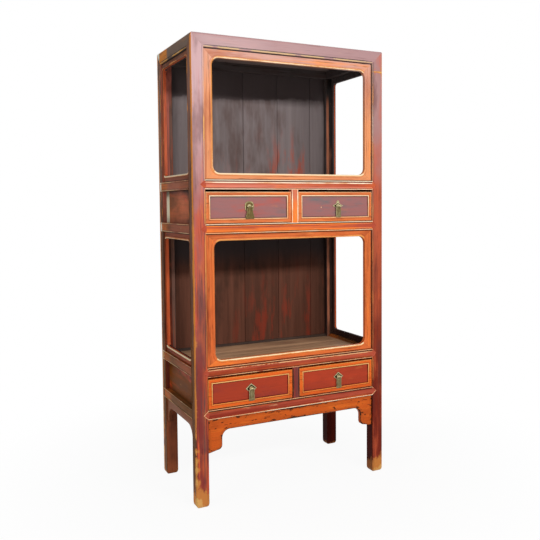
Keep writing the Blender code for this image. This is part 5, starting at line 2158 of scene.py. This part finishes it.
@dataclass
class Studio:
    """The camera, the soft light, the white background and the pale floor."""

    WHITE = (1, 1, 1, 1)

    place: tuple[float, float, float] = (-1.2780, -2.6516, 1.1592)
    yaw: float = -26.294
    pitch: float = -3.211
    roll: float = -0.468
    lens: float = 45.791
    sensor: float = 36.0
    shift: Pair = (-0.01421, -0.04887)
    ambient: float = 0.18
    floor_half: float = 8.0
    floor_colour: RGB = (236, 235, 233)
    floor_scale: float = 7.0
    floor_noise: Pair = (0.2, 0.8)
    floor_roughness: Pair = (0.8, 0.95)
    floor_reach: Pair = (0.3, 1.6)
    floor_white: Pair = (0.93, 1.0)
    lamps: tuple[Lamp, ...] = (
        Lamp("front_soft_box", (0.20, -3.60, 2.45), (0.0, 0.0, 1.0), (2.6, 0.3), 114.0),
        Lamp("left_soft_box", (-3.2, -1.2, 1.9), (0.0, 0.0, 0.9), (1.6, 2.0), 30.0),
    )

    def set_camera(self) -> None:
        """Puts the camera at the photograph's viewpoint."""
        data = bpy.data.cameras.new("viewpoint")
        data.lens = self.lens
        data.sensor_width = self.sensor
        data.shift_x, data.shift_y = self.shift
        camera = link(bpy.data.objects.new("viewpoint", data))
        pose = Matrix.Translation(self.place)
        for angle, axis in ((self.yaw, "Z"), (90 + self.pitch, "X"), (self.roll, "Z")):
            pose = pose @ Matrix.Rotation(math.radians(angle), 4, axis)
        camera.matrix_world = pose
        bpy.context.scene.camera = camera

    def set_world(self) -> None:
        """Makes the background white, and a plain even light from all round."""
        world = bpy.data.worlds.new("studio")
        world.use_nodes = True
        world.node_tree.nodes.clear()
        kit = NodeKit(world.node_tree)
        dim, white = (
            kit.first("ShaderNodeBackground", {"Color": self.WHITE, "Strength": strength})
            for strength in (self.ambient, 1.0)
        )
        mix = kit.first("ShaderNodeMixShader", {0: kit.seen(), 1: dim, 2: white})
        kit.node("ShaderNodeOutputWorld", {0: mix})
        bpy.context.scene.world = world

    def set_floor(self) -> None:
        """Lays the pale floor, which fades to white away from the cabinet and keeps its shadow."""
        shape = bmesh.new()
        bmesh.ops.create_grid(shape, x_segments=4, y_segments=4, size=self.floor_half)
        mesh = bpy.data.meshes.new("studio_floor")
        shape.to_mesh(mesh)
        shape.free()
        graph = Graph("studio_floor_look")
        reach = graph.node("ShaderNodeVectorMath", {0: graph.place}, operation="LENGTH").outputs["Value"]
        fade = graph.spread(reach, self.floor_reach, *self.floor_white)
        share = graph.math("MULTIPLY", graph.seen(), fade)
        mottle = graph.noise(graph.place, self.floor_scale)
        graph.shade(
            Base_Color=paint(self.floor_colour),
            Roughness=graph.spread(mottle, self.floor_noise, *self.floor_roughness),
            Specular_IOR_Level=0.1,
        )
        white = graph.first("ShaderNodeEmission", {"Color": self.WHITE, "Strength": 1.0})
        mix = graph.first("ShaderNodeMixShader", {0: share, 1: graph.shader.outputs[0], 2: white})
        graph.feed(graph.tree.nodes["Material Output"].inputs["Surface"], mix)
        mesh.materials.append(graph.material)
        floor = link(bpy.data.objects.new("studio_floor", mesh))

    def set_up(self) -> None:
        """Sets up the whole studio."""
        bpy.context.scene.view_settings.view_transform = "Standard"
        self.set_camera()
        self.set_world()
        self.set_floor()
        for lamp in self.lamps:
            lamp.light()
        LOG.info("studio is set up")


# Main

RIGHT_POST_CRACKS = (1.716,)


def main() -> None:
    """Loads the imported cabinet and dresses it, piece by piece."""
    logging.basicConfig(level=logging.INFO, format="%(message)s", stream=sys.stdout)
    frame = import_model()
    paintbox = Paintbox()
    Studio().set_up()
    for side in (Side.LEFT, Side.RIGHT):
        cracks = RIGHT_POST_CRACKS if side is Side.RIGHT else ()
        Post(paintbox, side, Side.FRONT, cracks).dress()
        Post(paintbox, side, Side.REAR).dress()
    for side in Side:
        TopRail(paintbox, side).dress()
    for side in (Side.FRONT, Side.LEFT, Side.RIGHT):
        for level in Rail.LEVELS:
            Rail(paintbox, side, level).dress()
        for bay in Fret.BAYS:
            Fret(paintbox, side, bay).dress()
        Apron(paintbox, side).dress()
    Bays(paintbox, PlankRow()).dress()
    PlainBoards(paintbox, frame["nodes"]).dress()
    for row in ROWS:
        Stile(paintbox, row).dress()
        for side in (Side.LEFT, Side.RIGHT):
            FlankPanel(paintbox, side, row).dress()
            Drawer(paintbox, row, side).dress()


if __name__ == "__main__":
    main()
